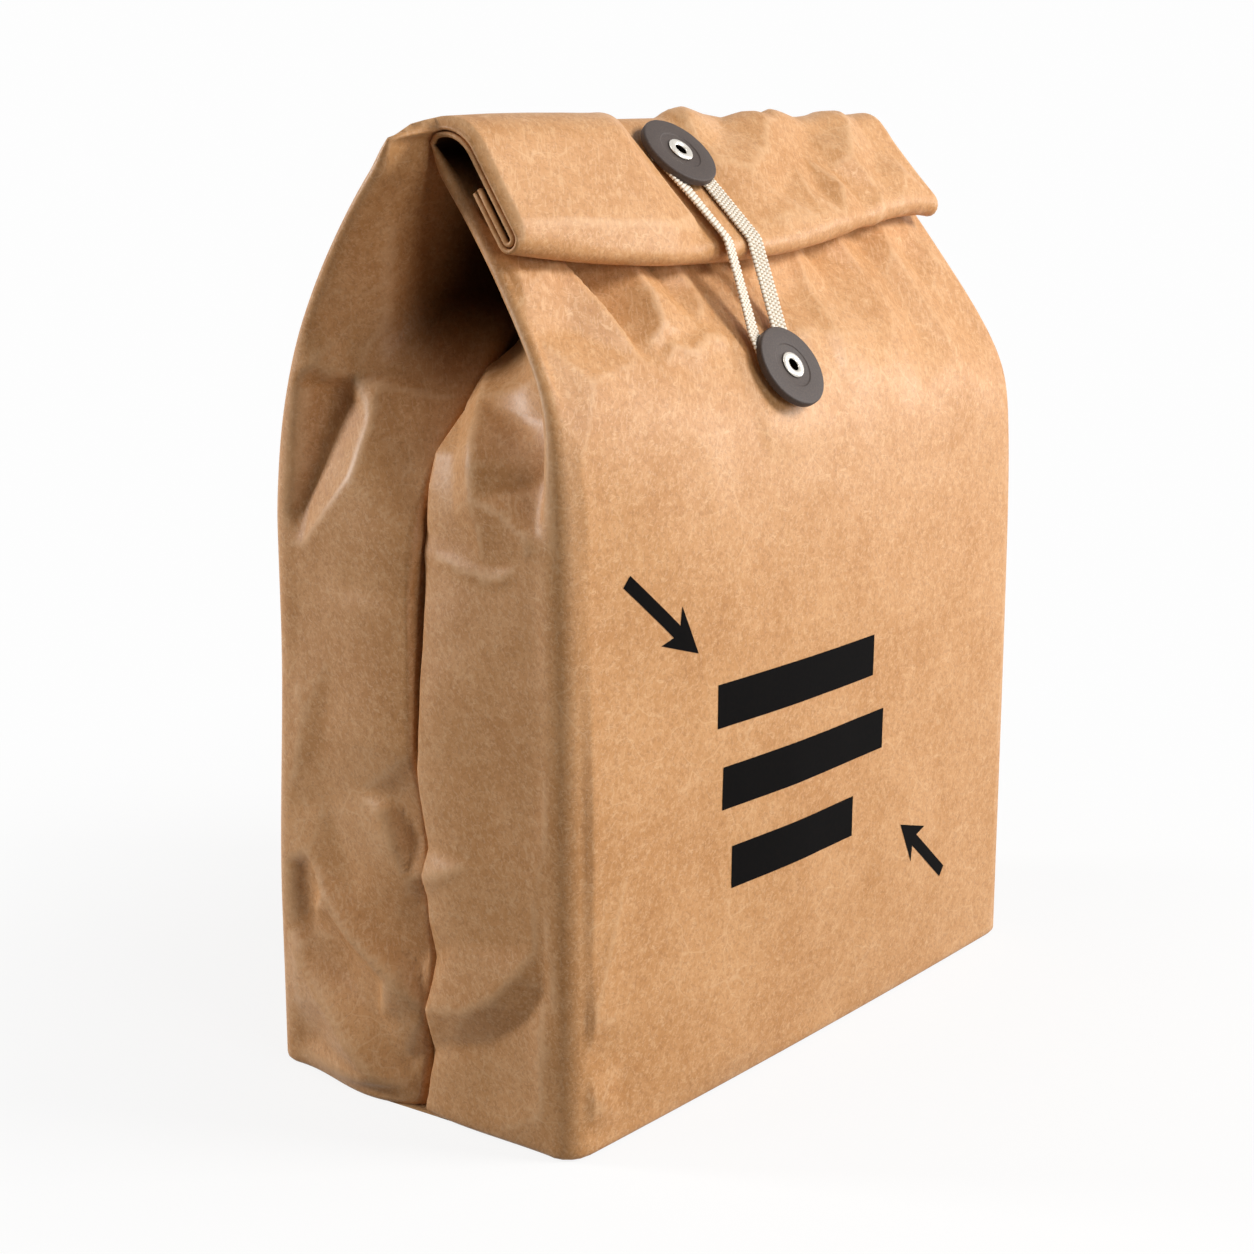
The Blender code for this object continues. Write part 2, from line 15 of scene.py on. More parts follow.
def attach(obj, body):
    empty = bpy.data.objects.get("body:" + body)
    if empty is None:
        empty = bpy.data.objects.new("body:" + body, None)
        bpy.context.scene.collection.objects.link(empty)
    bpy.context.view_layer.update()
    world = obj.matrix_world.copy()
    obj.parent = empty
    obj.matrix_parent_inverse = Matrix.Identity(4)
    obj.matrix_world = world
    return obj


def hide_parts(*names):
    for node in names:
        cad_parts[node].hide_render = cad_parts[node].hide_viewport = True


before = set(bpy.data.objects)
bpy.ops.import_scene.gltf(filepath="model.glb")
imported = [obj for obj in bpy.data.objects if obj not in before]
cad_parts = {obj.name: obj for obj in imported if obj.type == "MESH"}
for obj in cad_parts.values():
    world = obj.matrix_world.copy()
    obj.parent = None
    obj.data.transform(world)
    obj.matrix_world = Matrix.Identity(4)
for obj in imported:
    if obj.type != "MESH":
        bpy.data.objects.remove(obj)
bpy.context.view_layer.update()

bl_info = {
    "name": "Kraft Lunch Bag",
    "version": (1, 0, 0),
    "blender": (4, 5, 0),
    "location": "View3D > Sidebar > Lunch Bag",
    "description": "Builds the finished look of a folded kraft paper lunch bag",
    "category": "Add Mesh",
}

MM = 0.001

# Paper body, as the solid has it
BODY_WIDTH = 0.235
BODY_DEPTH = 0.118
PAPER_THICKNESS = 0.0005
CORNER_RADIUS = 0.007
BASE_EDGE_RADIUS = 0.0016
FRONT_BULGE = 0.0055
BACK_BULGE = 0.003
BACK_WAIST = 0.004
SIDE_BULGE = 0.002
BASE_BULGE_FRONT = 0.0012
BASE_BULGE_BACK = 0.0080
BASE_BOW = 0.0014
SIDE_TUCK = math.radians(15)
BASE_TUCK = math.radians(1.5)
TUCK_RISE = 0.06
BULGE_RISE = 0.08
BOW_RISE = 0.09
WAIST_RISE = (0.05, 0.14)
SWELL_POWER = 0.8
CORNER_SHARE = 1 / 6
CROWN_PEAK = 4 / 27

# Levels, all measured down from the ridge, where the walls begin to lean towards it
RIDGE_HEIGHT = 0.281
RIDGE_FALL = 0.0018
SHOULDER_DROP = 0.116
FRONT_SHOULDER_LEFT_DROP = 0.076
FRONT_SHOULDER_RIGHT_DROP = 0.082
FRONT_SHOULDER_SOFTNESS = 0.014
SWELL_CLEARANCE = 0.030

# Rolled top, which is puffed out at its left end and pulled tight elsewhere
ROLL_NARROWING = 0.012
ROLL_OFFSET = 0.003
EAR_SPREAD = 0.0038
FRONT_TOP_INSET_LEFT = 0.0117
FRONT_TOP_INSET_RIGHT = -0.001
PUFF_CLEARANCE = 0.0105
PUFF_BLEND = 0.026
FRONT_NARROWING = (0.2, 0.85)
EAR_WIDENING = (0.35, 1.0)
ROLL_GATHER = (0.97, 1.3)
RIDGE_RADIUS_TIGHT = 0.0075
RIDGE_RADIUS_PUFFED = 0.012
RIDGE_SETBACK_TIGHT = 0.004
RIDGE_SETBACK_PUFFED = -0.009
RIDGE_START_ANGLE = math.radians(50)
FLAP_LEAN_TIGHT = math.radians(4)
FLAP_LEAN_PUFFED = math.radians(-5)
FLAP_DROP_AT_ENDS = 0.033
FLAP_SAG = 0.0075
FLAP_SAG_REACH = 0.094
TURN_RADIUS = 0.0023
TUCKED_LENGTH = 0.016
LAYER_GAP = 0.0004

# Closure
CLOSURE_X = -0.014
BUTTON_DIAMETER = 0.0255
BUTTON_THICKNESS = 0.0025
BUTTON_EDGE = 0.0006
BUTTON_DISH_DIAMETER = 0.0133
BUTTON_DISH_DEPTH = BUTTON_EDGE / 2
LOWER_BUTTON_DROP = 0.0715
UPPER_BUTTON_DROP = 0.014
EYELET_FLANGE_DIAMETER = 0.0084
EYELET_BARREL_DIAMETER = 0.0046
EYELET_WALL = 0.0004
EYELET_CROWN = 1.7 * EYELET_WALL
SPACER_DIAMETER = 0.0066
SPACER_THICKNESS = 0.0014
BACKING_DIAMETER = 0.0074
BACKING_THICKNESS = 0.0005
FIT_GAP = 0.0003
TAPE_WIDTH = 0.0068
TAPE_THICKNESS = 0.001

LAYER_PITCH = PAPER_THICKNESS + LAYER_GAP
STACK_DEPTH = 3 * LAYER_PITCH
HALF_STACK = (STACK_DEPTH + PAPER_THICKNESS) / 2
CREASE_HALF_GAP = LAYER_PITCH / 2
SHOULDER_HEIGHT = RIDGE_HEIGHT - SHOULDER_DROP
LOWER_BUTTON_HEIGHT = RIDGE_HEIGHT - LOWER_BUTTON_DROP
BUTTON_UNDERSIDE = FIT_GAP + SPACER_THICKNESS + FIT_GAP
BUTTON_FACE = BUTTON_UNDERSIDE + BUTTON_THICKNESS
TAPE_LEVEL = BUTTON_UNDERSIDE / 2
TAPE_INNER_RADIUS = SPACER_DIAMETER / 2 + FIT_GAP
AT_CLOSURE = np.array([CLOSURE_X])

# Fineness of the crumpled paper's mesh
WALL_COLUMNS = 140
CORNER_SHARES = np.linspace(0.0, 1.0, 6)
TURN_SHARES = (0.948, 0.961, 0.971, 0.978, 0.984, 0.988, 0.992, 0.996, 1.0)
HALF_SHARES = np.append(np.linspace(0.04, 0.93, 23), TURN_SHARES)
TUCK_SHARES = np.array((0.30, 0.65))
SIDE_POINTS = len(CORNER_SHARES) + len(HALF_SHARES) + len(TUCK_SHARES) + 1
WALL_ROWS = 84
CLIMB_ROWS = 78
ROLL_ROWS = (("over", 15), ("down", 18), ("round", 10), ("up", 5))
FOLD_SHARPNESS = 150
TIGHT_CORNER = 0.0026
CORNER_TIGHTENING = (0.1, 0.55)
LEG_GAIN = 1.3

# The fold down the middle of each side: how plump its halves are at climbs from the base, -1, past
# the shoulder, 0, to the ridge, 1, and how far it shifts at heights above the base, in millimetres
PLUMP_CLIMBS = (-0.42, -0.34, -0.1, 0.05, 0.17, 0.25, 0.355, 0.49, 0.64)
FRONT_PLUMP = (1.0, 0.97, 0.88, 0.75, 0.74, 0.71, 0.36, 0.12, 0.0)
BACK_PLUMP = (0.74, 0.96, 1.0, 0.84, 0.66, 0.52, 0.34, 0.2, 0.0)
FOLD_EDGE = 0.994
WANDER_HEIGHTS = (0.0, 15.0, 40.0, 62.0, 80.0, 104.0, 130.0)
WANDER_SHIFTS = (-1.5, -3.5, -5.5, -5.0, -3.6, -0.6, 0.0)

# How near to that fold each column of the mesh is: 0 on the walls and at the corners, 1 at the fold
HALF_NEARNESS = np.concatenate([np.zeros(len(CORNER_SHARES)), HALF_SHARES, np.ones(len(TUCK_SHARES) + 1)])
SIDE_NEARNESS = np.concatenate([HALF_NEARNESS, [1.0], HALF_NEARNESS[::-1]])
FOLD_NEARNESS = np.tile(np.append(np.zeros(WALL_COLUMNS), SIDE_NEARNESS), 2)

# Crumpling, in millimetres: the areas that it fills, as (left, right, bottom, top), how far the walls
# reach from the middle, and how strong it is, with the heights or places between which it grows
FRONT_AREA = (-118, 118, 0, 256)
SIDE_AREA = (-60, 66, 0, 282)
FLAP_AREA = (-116, 122, -4, 78)
BACK_AREA = (-118, 118, 0, 290)
FRONT_HALF = 118
BACK_HALF = 119
AREA_MARGIN = 5
TRIES_IN_A_FACET = 6
FINE_STRENGTH = 1.3
FRONT_STRENGTH = (1.0, 1.7)
SIDE_STRENGTH = 1.6
FLAP_STRENGTH = (0.8, 1.5)
PLAIN_STRENGTH = 1.8
PLAIN_RISE = (150.0, 215.0)
FLAP_RISE = (-14.0, 16.0)

# Tape: step along it, and how the slack left strand is lifted and turned away from the front
TAPE_STEP = 0.00028
STITCH_DEPTH = 0.00011
YARN_OVERLAP = 1.14
STRAND_LIFT = 0.0009
STRAND_TWIST = math.radians(19)

# Printed marks on the front, in millimetres: bars as (left, right, bottom, height), arrows as ends
MARK_BARS = ((-57, 22, 113, 13), (-54, 29, 88, 13), (-49, 13, 63, 13))
MARK_ARROWS = (((-95, 162), (-66, 137)), ((71, 35), (42, 59)))
MARK_SHAFT = 4.0
MARK_BARB = 13.0
MARK_HEAD = 12.0
MARK_SWEEP = 1.25
MARK_STEP = 1.6

# Slant of the view at the left side: a fold that lies deeper shows further forward
SIGHT_SLOPE = 0.8

# Camera that took the picture: a level camera with no roll, in metres and degrees
CAMERA_PLACE = (-0.56338, -0.43660, 0.29390)
CAMERA_YAW = 51.2187
CAMERA_TILT = 13.5
CAMERA_LENS = 66.09
SENSOR_WIDTH = 36.0

# White surroundings: how light they look, how much light they give, and the floor's faint shadow ring
SEEN_WHITE = 0.985
WORLD_LIGHT = 0.045
FLOOR_HALF = 3.0
FLOOR_RING = (0.12, 0.42)
FLOOR_GLOW = (0.86, 1.0)

# Square lamps: name, place, the height that they look at over the origin, watts and side
LAMPS = (("key", (0.55, -1.00, 0.98), 0.18, 17.0, 0.45),
         ("right_card", (1.15, -0.80, 0.40), 0.15, 7.5, 0.5),
         ("front_left", (-0.32, -1.30, 0.40), 0.12, 6.0, 0.5),
         ("top_left", (-0.72, 0.34, 1.35), 0.15, 2.0, 0.36),
         ("back_left", (-0.82, 1.20, 0.60), 0.12, 16.0, 0.30))


def linear(text):
    """Linear colour of an sRGB hex value."""
    made = []
    for start in (1, 3, 5):
        value = int(text[start:start + 2], 16) / 255
        made.append(value / 12.92 if value <= 0.04045 else ((value + 0.055) / 1.055) ** 2.4)
    return tuple(made)


def mix(a, b, share):
    return a + (b - a) * share


def ease(value, start, end):
    """Smooth step from 0 at start to 1 at end."""
    share = np.clip((value - start) / (end - start), 0.0, 1.0)
    return share * share * (3 - 2 * share)


def outward(angle):
    return np.stack([np.cos(angle), np.sin(angle)], -1)


def along(angle):
    """Direction of the rolled stack at an angle from straight up, turning forward."""
    return np.stack([-np.sin(angle), np.cos(angle)], -1)


def scaled(vector, factor):
    return vector * np.asarray(factor)[..., None]


def puffed_share(x):
    start = -CLOSURE_X + PUFF_CLEARANCE
    return ease(-x, start, start + PUFF_BLEND)


def roll_end(side):
    return side * (BODY_WIDTH - ROLL_NARROWING) / 2 + ROLL_OFFSET


def front_edge(side, climb):
    """Side edge of the front wall, which narrows towards the ridge, climb 1, and then joins the roll."""
    inset = FRONT_TOP_INSET_LEFT if side < 0 else FRONT_TOP_INSET_RIGHT
    wall = side * (BODY_WIDTH / 2 - inset * ease(climb, *FRONT_NARROWING))
    return mix(wall, roll_end(side), ease(climb, *ROLL_GATHER))


def back_edge(side, climb):
    wall = side * (BODY_WIDTH / 2 + EAR_SPREAD * ease(climb, *EAR_WIDENING))
    return mix(wall, roll_end(side), ease(climb, *ROLL_GATHER))


def across(x):
    return np.maximum(0.0, 1 - (2 * x / BODY_WIDTH) ** 2)


def swell(height, top):
    return np.sin(np.pi * np.clip(height / top, 0.0, 1.0)) ** SWELL_POWER


def ridge_centre(x):
    """Centre and radius of the bend over the ridge, in the plane across the roll."""
    puffed = puffed_share(x)
    radius = mix(RIDGE_RADIUS_TIGHT, RIDGE_RADIUS_PUFFED, puffed)
    setback = mix(RIDGE_SETBACK_TIGHT, RIDGE_SETBACK_PUFFED, puffed)
    height = RIDGE_HEIGHT - RIDGE_FALL * ease(x, 0.0, BODY_WIDTH / 2)
    return np.stack([setback, height - radius - HALF_STACK], -1), radius


def stack_start(x):
    centre, radius = ridge_centre(x)
    normal = outward(RIDGE_START_ANGLE)
    middle = centre + normal * radius[..., None]
    return middle - normal * STACK_DEPTH / 2, middle + normal * STACK_DEPTH / 2


def front_shoulder(x):
    rightward = ease(x, 0.0, BODY_WIDTH / 2)
    return RIDGE_HEIGHT - mix(FRONT_SHOULDER_LEFT_DROP, FRONT_SHOULDER_RIGHT_DROP, rightward)


def soft_rise(height, start):
    past = height - start
    return (past + np.hypot(past, FRONT_SHOULDER_SOFTNESS)) / 2


def front_wall(x, height):
    top = stack_start(x)[0]
    shoulder = front_shoulder(x)
    bow = BASE_BOW * (1 - ease(height, 0.0, BOW_RISE))
    bulge = FRONT_BULGE * swell(height, top[..., 1] - SWELL_CLEARANCE)
    upright = -(BODY_DEPTH / 2) - across(x) * (bow + bulge)
    rise = soft_rise(height, shoulder) / soft_rise(top[..., 1], shoulder)
    return upright + (top[..., 0] + BODY_DEPTH / 2) * rise


def back_wall(x, height):
    top = stack_start(x)[1]
    waist = BACK_WAIST * ease(height, *WAIST_RISE)
    bulge = BACK_BULGE * across(x) * swell(height, top[..., 1] - SWELL_CLEARANCE)
    upright = BODY_DEPTH / 2 - waist + bulge
    share = np.maximum(0.0, (height - SHOULDER_HEIGHT) / (top[..., 1] - SHOULDER_HEIGHT))
    return upright + (top[..., 0] - BODY_DEPTH / 2 + waist) * share ** 2


def upright_pair(x, height):
    level = np.full_like(x, height)
    return np.stack([front_wall(x, level), level], -1), np.stack([back_wall(x, level), level], -1)


def climb_pair(x, climb):
    """Front and back points between the shoulder, climb 0, and the ridge, climb 1."""
    front_top, back_top = stack_start(x)
    front_height = mix(SHOULDER_HEIGHT, front_top[..., 1], climb)
    back_height = mix(SHOULDER_HEIGHT, back_top[..., 1], climb)
    front = np.stack([front_wall(x, front_height), front_height], -1)
    return front, np.stack([back_wall(x, back_height), back_height], -1)


def flap_angle(x):
    top = stack_start(x)[0]
    slope = np.arctan2(top[..., 0] + BODY_DEPTH / 2, top[..., 1] - front_shoulder(x))
    return math.pi - slope - mix(FLAP_LEAN_TIGHT, FLAP_LEAN_PUFFED, puffed_share(x))


def flap_line(x):
    """Start, direction, normal and length of the flap's straight run, at the stack's middle."""
    centre, radius = ridge_centre(x)
    angle = flap_angle(x)
    facing = outward(angle)
    start = centre + scaled(facing, radius)
    sag = np.maximum(0.0, 1 - ((x - CLOSURE_X) / FLAP_SAG_REACH) ** 2)
    drop = FLAP_DROP_AT_ENDS + FLAP_SAG * sag
    turn_bottom = RIDGE_HEIGHT - drop + TURN_RADIUS + HALF_STACK
    turn_start = start - facing * TURN_RADIUS
    length = (turn_start[..., 1] - turn_bottom) / np.cos(math.pi - angle)
    return start, along(angle), facing, length


def roll_pair(x, stage, share):
    """Inner and outer layer of the rolled stack: over the ridge, down, round the turn, then up."""
    start, direction, normal, length = flap_line(x)
    angle = flap_angle(x)
    turn_centre = start + scaled(direction, length) - normal * TURN_RADIUS
    if stage == "over":
        centre, radius = ridge_centre(x)
        facing = outward(mix(RIDGE_START_ANGLE, angle, share))
        middle = centre + scaled(facing, radius)
    elif stage == "down":
        facing = normal
        middle = start + scaled(direction, length * share)
    elif stage == "round":
        facing = outward(angle + math.pi * share)
        middle = turn_centre + facing * TURN_RADIUS
    else:
        facing = -normal
        middle = turn_centre - normal * TURN_RADIUS - direction * TUCKED_LENGTH * share
    return middle - facing * STACK_DEPTH / 2, middle + facing * STACK_DEPTH / 2


def side_outline(depth, tuck, plump, leg, bulge, corner, settled):
    """Half of one side, from the wall's edge to the middle crease, as insets and depths."""
    radius = min(corner, depth * CORNER_SHARE)
    reach = depth / 2 - CREASE_HALF_GAP - radius
    if leg is None:
        leg = mix((reach - radius * math.sin(tuck)) / math.cos(tuck), shoulder_leg(), settled)
    span = math.hypot(leg, radius)
    lean = math.atan2(radius, leg) + math.acos(min(1.0, reach / span))
    turn = (math.pi / 2 + lean) * CORNER_SHARES
    arc = np.stack([radius - radius * np.sin(turn), radius - radius * np.cos(turn)], -1)
    share = np.append(FOLD_EDGE * HALF_SHARES, mix(FOLD_EDGE, 1.0, TUCK_SHARES))
    flush = leg * math.sin(lean) * share * (1 - np.minimum(share / FOLD_EDGE, 1.0) ** FOLD_SHARPNESS)
    crown = bulge * share ** 2 * (1 - share) / CROWN_PEAK
    inset, forward = arc[-1]
    half = np.stack([inset + leg * share * math.sin(lean) - plump * (flush + crown),
                     forward + leg * share * math.cos(lean)], -1)
    tip = inset + leg * math.sin(lean)
    fold = np.array([[tip, depth / 2 - CREASE_HALF_GAP], [tip + CREASE_HALF_GAP, depth / 2]])
    return np.concatenate([arc, half, fold])


def shoulder_leg():
    reach = BODY_DEPTH / 2 - CREASE_HALF_GAP - CORNER_RADIUS
    return (reach - CORNER_RADIUS * math.sin(SIDE_TUCK)) / math.cos(SIDE_TUCK)


def ring_points(pair_at, climb, tuck, leg, bulges, inset=0.0, corner=CORNER_RADIUS, settled=0.0):
    """One closed ring of the paper: front, right side, back and left side, seen from above.

    A side without a leg takes the length that fits, which settles towards the shoulder's length.
    The bulges are those of a side's front half and of its back half.
    """
    plumps = [np.interp(climb, PLUMP_CLIMBS, shares) for shares in (FRONT_PLUMP, BACK_PLUMP)]
    sides = {}
    for side in (-1, 1):
        front_x = front_edge(side, climb) - side * inset
        back_x = back_edge(side, climb) - side * inset
        front, back = (points[0] for points in pair_at(np.array([front_x])))
        gap = back - front
        length = np.hypot(*gap)
        unit = gap / length
        depth = length - 2 * inset
        front_outline, back_outline = (
            side_outline(depth, tuck, plump, leg, bulge, corner, settled)
            for plump, bulge in zip(plumps, bulges))
        origin = front + unit * inset
        near = np.column_stack([front_x - side * front_outline[:, 0],
                                origin + unit * front_outline[:, 1:]])
        flare = (back_x - front_x) * (1 - back_outline[:-1, 0] / front_outline[-1, 0])
        far = np.column_stack([front_x + flare - side * back_outline[:-1, 0],
                               origin + unit * (depth - back_outline[:-1, 1:])])
        sides[side] = (near, far)
    near_right, far_right = sides[1]
    near_left, far_left = sides[-1]
    shares = (np.arange(WALL_COLUMNS) + 0.5) / WALL_COLUMNS
    walls = []
    for first, last in ((near_left, near_right), (far_right, far_left)):
        x = mix(first[0, 0], last[0, 0], shares)
        front, back = pair_at(x)
        inward = inset * (back - front) / np.linalg.norm(back - front, axis=-1, keepdims=True)
        walls.append(np.column_stack([x, back - inward if walls else front + inward]))
    return np.concatenate([walls[0], near_right, far_right[::-1], walls[1], far_left, near_left[::-1]])


def paper_rows():
    """Every row of the paper's middle surface, with each row's climb past the shoulder."""
    rows = []
    climbs = []
    base_bulges = (BASE_BULGE_FRONT, BASE_BULGE_BACK)
    for turn in np.linspace(0.0, math.pi / 2, 4):
        height = PAPER_THICKNESS / 2 + BASE_EDGE_RADIUS * (1 - math.cos(turn))
        inset = BASE_EDGE_RADIUS * (1 - math.sin(turn))
        rows.append(ring_points(lambda x: upright_pair(x, height), -1.0, BASE_TUCK, None,
                                base_bulges, inset))
        climbs.append(-1.0)
    first = PAPER_THICKNESS / 2 + BASE_EDGE_RADIUS
    for height in np.linspace(first, SHOULDER_HEIGHT, WALL_ROWS + 1)[1:-1]:
        tuck = mix(BASE_TUCK, SIDE_TUCK, ease(height, 0.0, TUCK_RISE))
        bulges = [mix(bulge, SIDE_BULGE, ease(height, 0.0, BULGE_RISE)) for bulge in base_bulges]
        settled = ease(height, 0.6 * SHOULDER_HEIGHT, SHOULDER_HEIGHT)
        climb = height / SHOULDER_HEIGHT - 1
        rows.append(ring_points(lambda x: upright_pair(x, height), climb, tuck, None, bulges,
                                settled=settled))
        climbs.append(climb)
    side_bulges = (SIDE_BULGE, SIDE_BULGE)
    for climb in np.linspace(0.0, 1.0, CLIMB_ROWS):
        corner = mix(CORNER_RADIUS, TIGHT_CORNER, ease(climb, *CORNER_TIGHTENING))
        leg = shoulder_leg() + LEG_GAIN * (CORNER_RADIUS - corner)
        rows.append(ring_points(lambda x: climb_pair(x, climb), climb, SIDE_TUCK, leg, side_bulges,
                                corner=corner))
        climbs.append(climb)
    for stage, steps in ROLL_ROWS:
        for step in range(1, steps + 1):
            share = step / steps
            climb = 1 + share if stage == "over" else 2.0
            rows.append(ring_points(lambda x: roll_pair(x, stage, share), climb, SIDE_TUCK, leg,
                                    side_bulges, corner=TIGHT_CORNER))
            climbs.append(climb)
    return np.array(rows), np.array(climbs)


def surface_normals(grid):
    """Unit normals of a grid whose rows are closed rings."""
    ringward = np.roll(grid, -1, axis=1) - np.roll(grid, 1, axis=1)
    upward = np.gradient(grid, axis=0)
    normal = np.cross(ringward, upward)
    return normal / np.maximum(np.linalg.norm(normal, axis=-1, keepdims=True), 1e-12)


def facet_field(u, v, box, lines, spacing, height, seed):
    """Height of crumpled paper at (u, v), in millimetres: flat facets that meet at sharp folds.

    The folds are chosen lines of (u, v, height). Scattered corners fill the rest of the box, as
    far apart and as high as two functions of place say.
    """
    rng = np.random.default_rng(seed)
    places, levels, folds = [], [], []
    for line in lines:
        for step, (pu, pv, level) in enumerate(line):
            if step:
                folds.append((len(places) - 1, len(places)))
            places.append((pu, pv))
            levels.append(level)
    low_u, high_u, low_v, high_v = box
    finest = spacing(np.array([[low_u, low_v], [high_u, high_v], [(low_u + high_u) / 2, high_v]])).min()
    cells = (high_u - low_u) * (high_v - low_v) / finest ** 2
    tries = rng.uniform((low_u, low_v), (high_u, high_v), (int(TRIES_IN_A_FACET * cells), 2))
    gaps = spacing(tries)
    heights = height(tries) * rng.uniform(-1.0, 1.0, len(tries))
    kept = np.array(places + [(low_u, low_v)], float)
    for place, gap, level in zip(tries, gaps, heights):
        if np.min(np.hypot(*(kept - place).T)) > gap:
            kept = np.vstack([kept, place])
            places.append(tuple(place))
            levels.append(level)
    low_u, high_u, low_v, high_v = (
        low_u - AREA_MARGIN, high_u + AREA_MARGIN, low_v - AREA_MARGIN, high_v + AREA_MARGIN)
    places += [(low_u, low_v), (high_u, low_v), (high_u, high_v), (low_u, high_v)]
    levels += [0.0] * 4
    flat, _, faces, sources = geometry.delaunay_2d_cdt(
        [Vector(place) for place in places], folds, [], 0, 1e-6)[:4]
    level_at = [levels[source[0]] if source else 0.0 for source in sources]
    field = np.zeros(u.shape)
    for a, b, c in faces:
        pa, pb, pc = flat[a], flat[b], flat[c]
        area = (pb.x - pa.x) * (pc.y - pa.y) - (pc.x - pa.x) * (pb.y - pa.y)
        if abs(area) < 1e-9:
            continue
        near = ((u >= min(pa.x, pb.x, pc.x)) & (u <= max(pa.x, pb.x, pc.x))
                & (v >= min(pa.y, pb.y, pc.y)) & (v <= max(pa.y, pb.y, pc.y)))
        if not near.any():
            continue
        du, dv = u[near] - pa.x, v[near] - pa.y
        share_b = (du * (pc.y - pa.y) - dv * (pc.x - pa.x)) / area
        share_c = (dv * (pb.x - pa.x) - du * (pb.y - pa.y)) / area
        inside = (share_b >= -1e-6) & (share_c >= -1e-6) & (share_b + share_c <= 1 + 1e-6)
        value = mix(level_at[a], level_at[b], share_b) + share_c * (level_at[c] - level_at[a])
        spot = field[near]
        spot[inside] = value[inside]
        field[near] = spot
    return field


def rolling(u, v, period, seed):
    """Slow random rise and fall between -1 and 1, with waves about one period long."""
    rng = np.random.default_rng(seed)
    total = np.zeros(u.shape)
    for _ in range(7):
        angle = rng.uniform(0, 2 * math.pi)
        wave = 2 * math.pi / (period * rng.uniform(0.7, 1.5))
        total += np.sin((u * math.cos(angle) + v * math.sin(angle)) * wave + rng.uniform(0, 6.3))
    return total / 3.5


def ridge_lines(points, height, width):
    """A narrow raised crease: its crest and two flat lines beside it."""
    crest = [(u, v, height) for u, v in points]
    crest[0] = (*points[0], 0.0)
    crest[-1] = (*points[-1], 0.0)
    start, end = np.array(points[0]), np.array(points[-1])
    side = np.array([-(end - start)[1], (end - start)[0]]) / np.hypot(*(end - start)) * width
    lines = [crest]
    for sign in (-1, 1):
        lines.append([(u + sign * side[0], v + sign * side[1], 0.0) for u, v in points[1:-1]])
    return lines


def graded(first, last, start=0.0, end=1.0, axis=1):
    """A measure as a function of place: the first value before the start, the last one past the end."""
    return lambda place: mix(first, last, ease(place[:, axis], start, end))


def front_relief(x, z):
    """Folds of the front wall: dents under the flap, soft crumples above and a calm lower half."""
    lines = [
        [(-84, 244, 1.4), (-78, 232, 1.2), (-74, 218, 0.5)],
        [(-70, 247, -4.5), (-69, 236, -4.0), (-71, 221, -0.6)],
        [(-56, 247, 0.6), (-55, 234, 1.3), (-58, 225, 1.2), (-66, 215, 0.4)],
        [(-42, 246, -2.6), (-40, 236, -1.8), (-46, 228, 0.2)],
        *ridge_lines([(-66, 222), (-58, 220), (-50, 218), (-40, 221), (-32, 220), (-26, 223)], 1.0, 3.6),
        [(-34, 244, 0.8), (-30, 232, 1.0)],
        [(-98, 240, 1.2), (-92, 228, -0.8), (-98, 214, 1.0), (-92, 202, 0.0)],
        [(10, 243, 0.9), (17, 230, -0.8), (14, 218, 0.6)],
        [(31, 243, 1.4), (24, 228, 0.4), (21, 216, 1.5), (32, 204, 0.2)],
        [(42, 244, -1.6), (38, 230, -1.0), (44, 216, 0.4)],
        [(58, 244, 1.2), (60, 230, 0.6), (52, 214, 1.0)],
        [(74, 244, -1.4), (72, 230, -0.4)],
        [(88, 243, 1.2), (84, 236, 1.4), (96, 236, -0.6), (104, 246, 0.6)],
        [(84, 224, 0.9), (72, 214, -0.6), (60, 220, 0.8)],
        [(-114, 44, 0.2), (-109, 41, 1.5), (-98, 37, 0.4), (-88, 37, 0.0)],
        [(-112, 30, -0.5), (-98, 26, -0.3)],
        [(-114, 22, 0.2), (-107, 15, 1.4), (-97, 8, 0.2)],
        [(-113, 8, -0.6), (-104, 4, -0.2)],
    ]

    field = facet_field(x, z, FRONT_AREA, lines, graded(29.0, 11.5, 160.0, 225.0),
                        graded(0.3, 1.5, 165.0, 228.0), 11)
    fine = facet_field(x, z, FRONT_AREA, [], graded(7.5, 7.5), graded(0.07, 0.22, *PLAIN_RISE), 12)
    strength = mix(*FRONT_STRENGTH, ease(z, 180.0, 225.0))
    return strength * field + FINE_STRENGTH * fine + 0.45 * rolling(x, z, 85.0, 3)


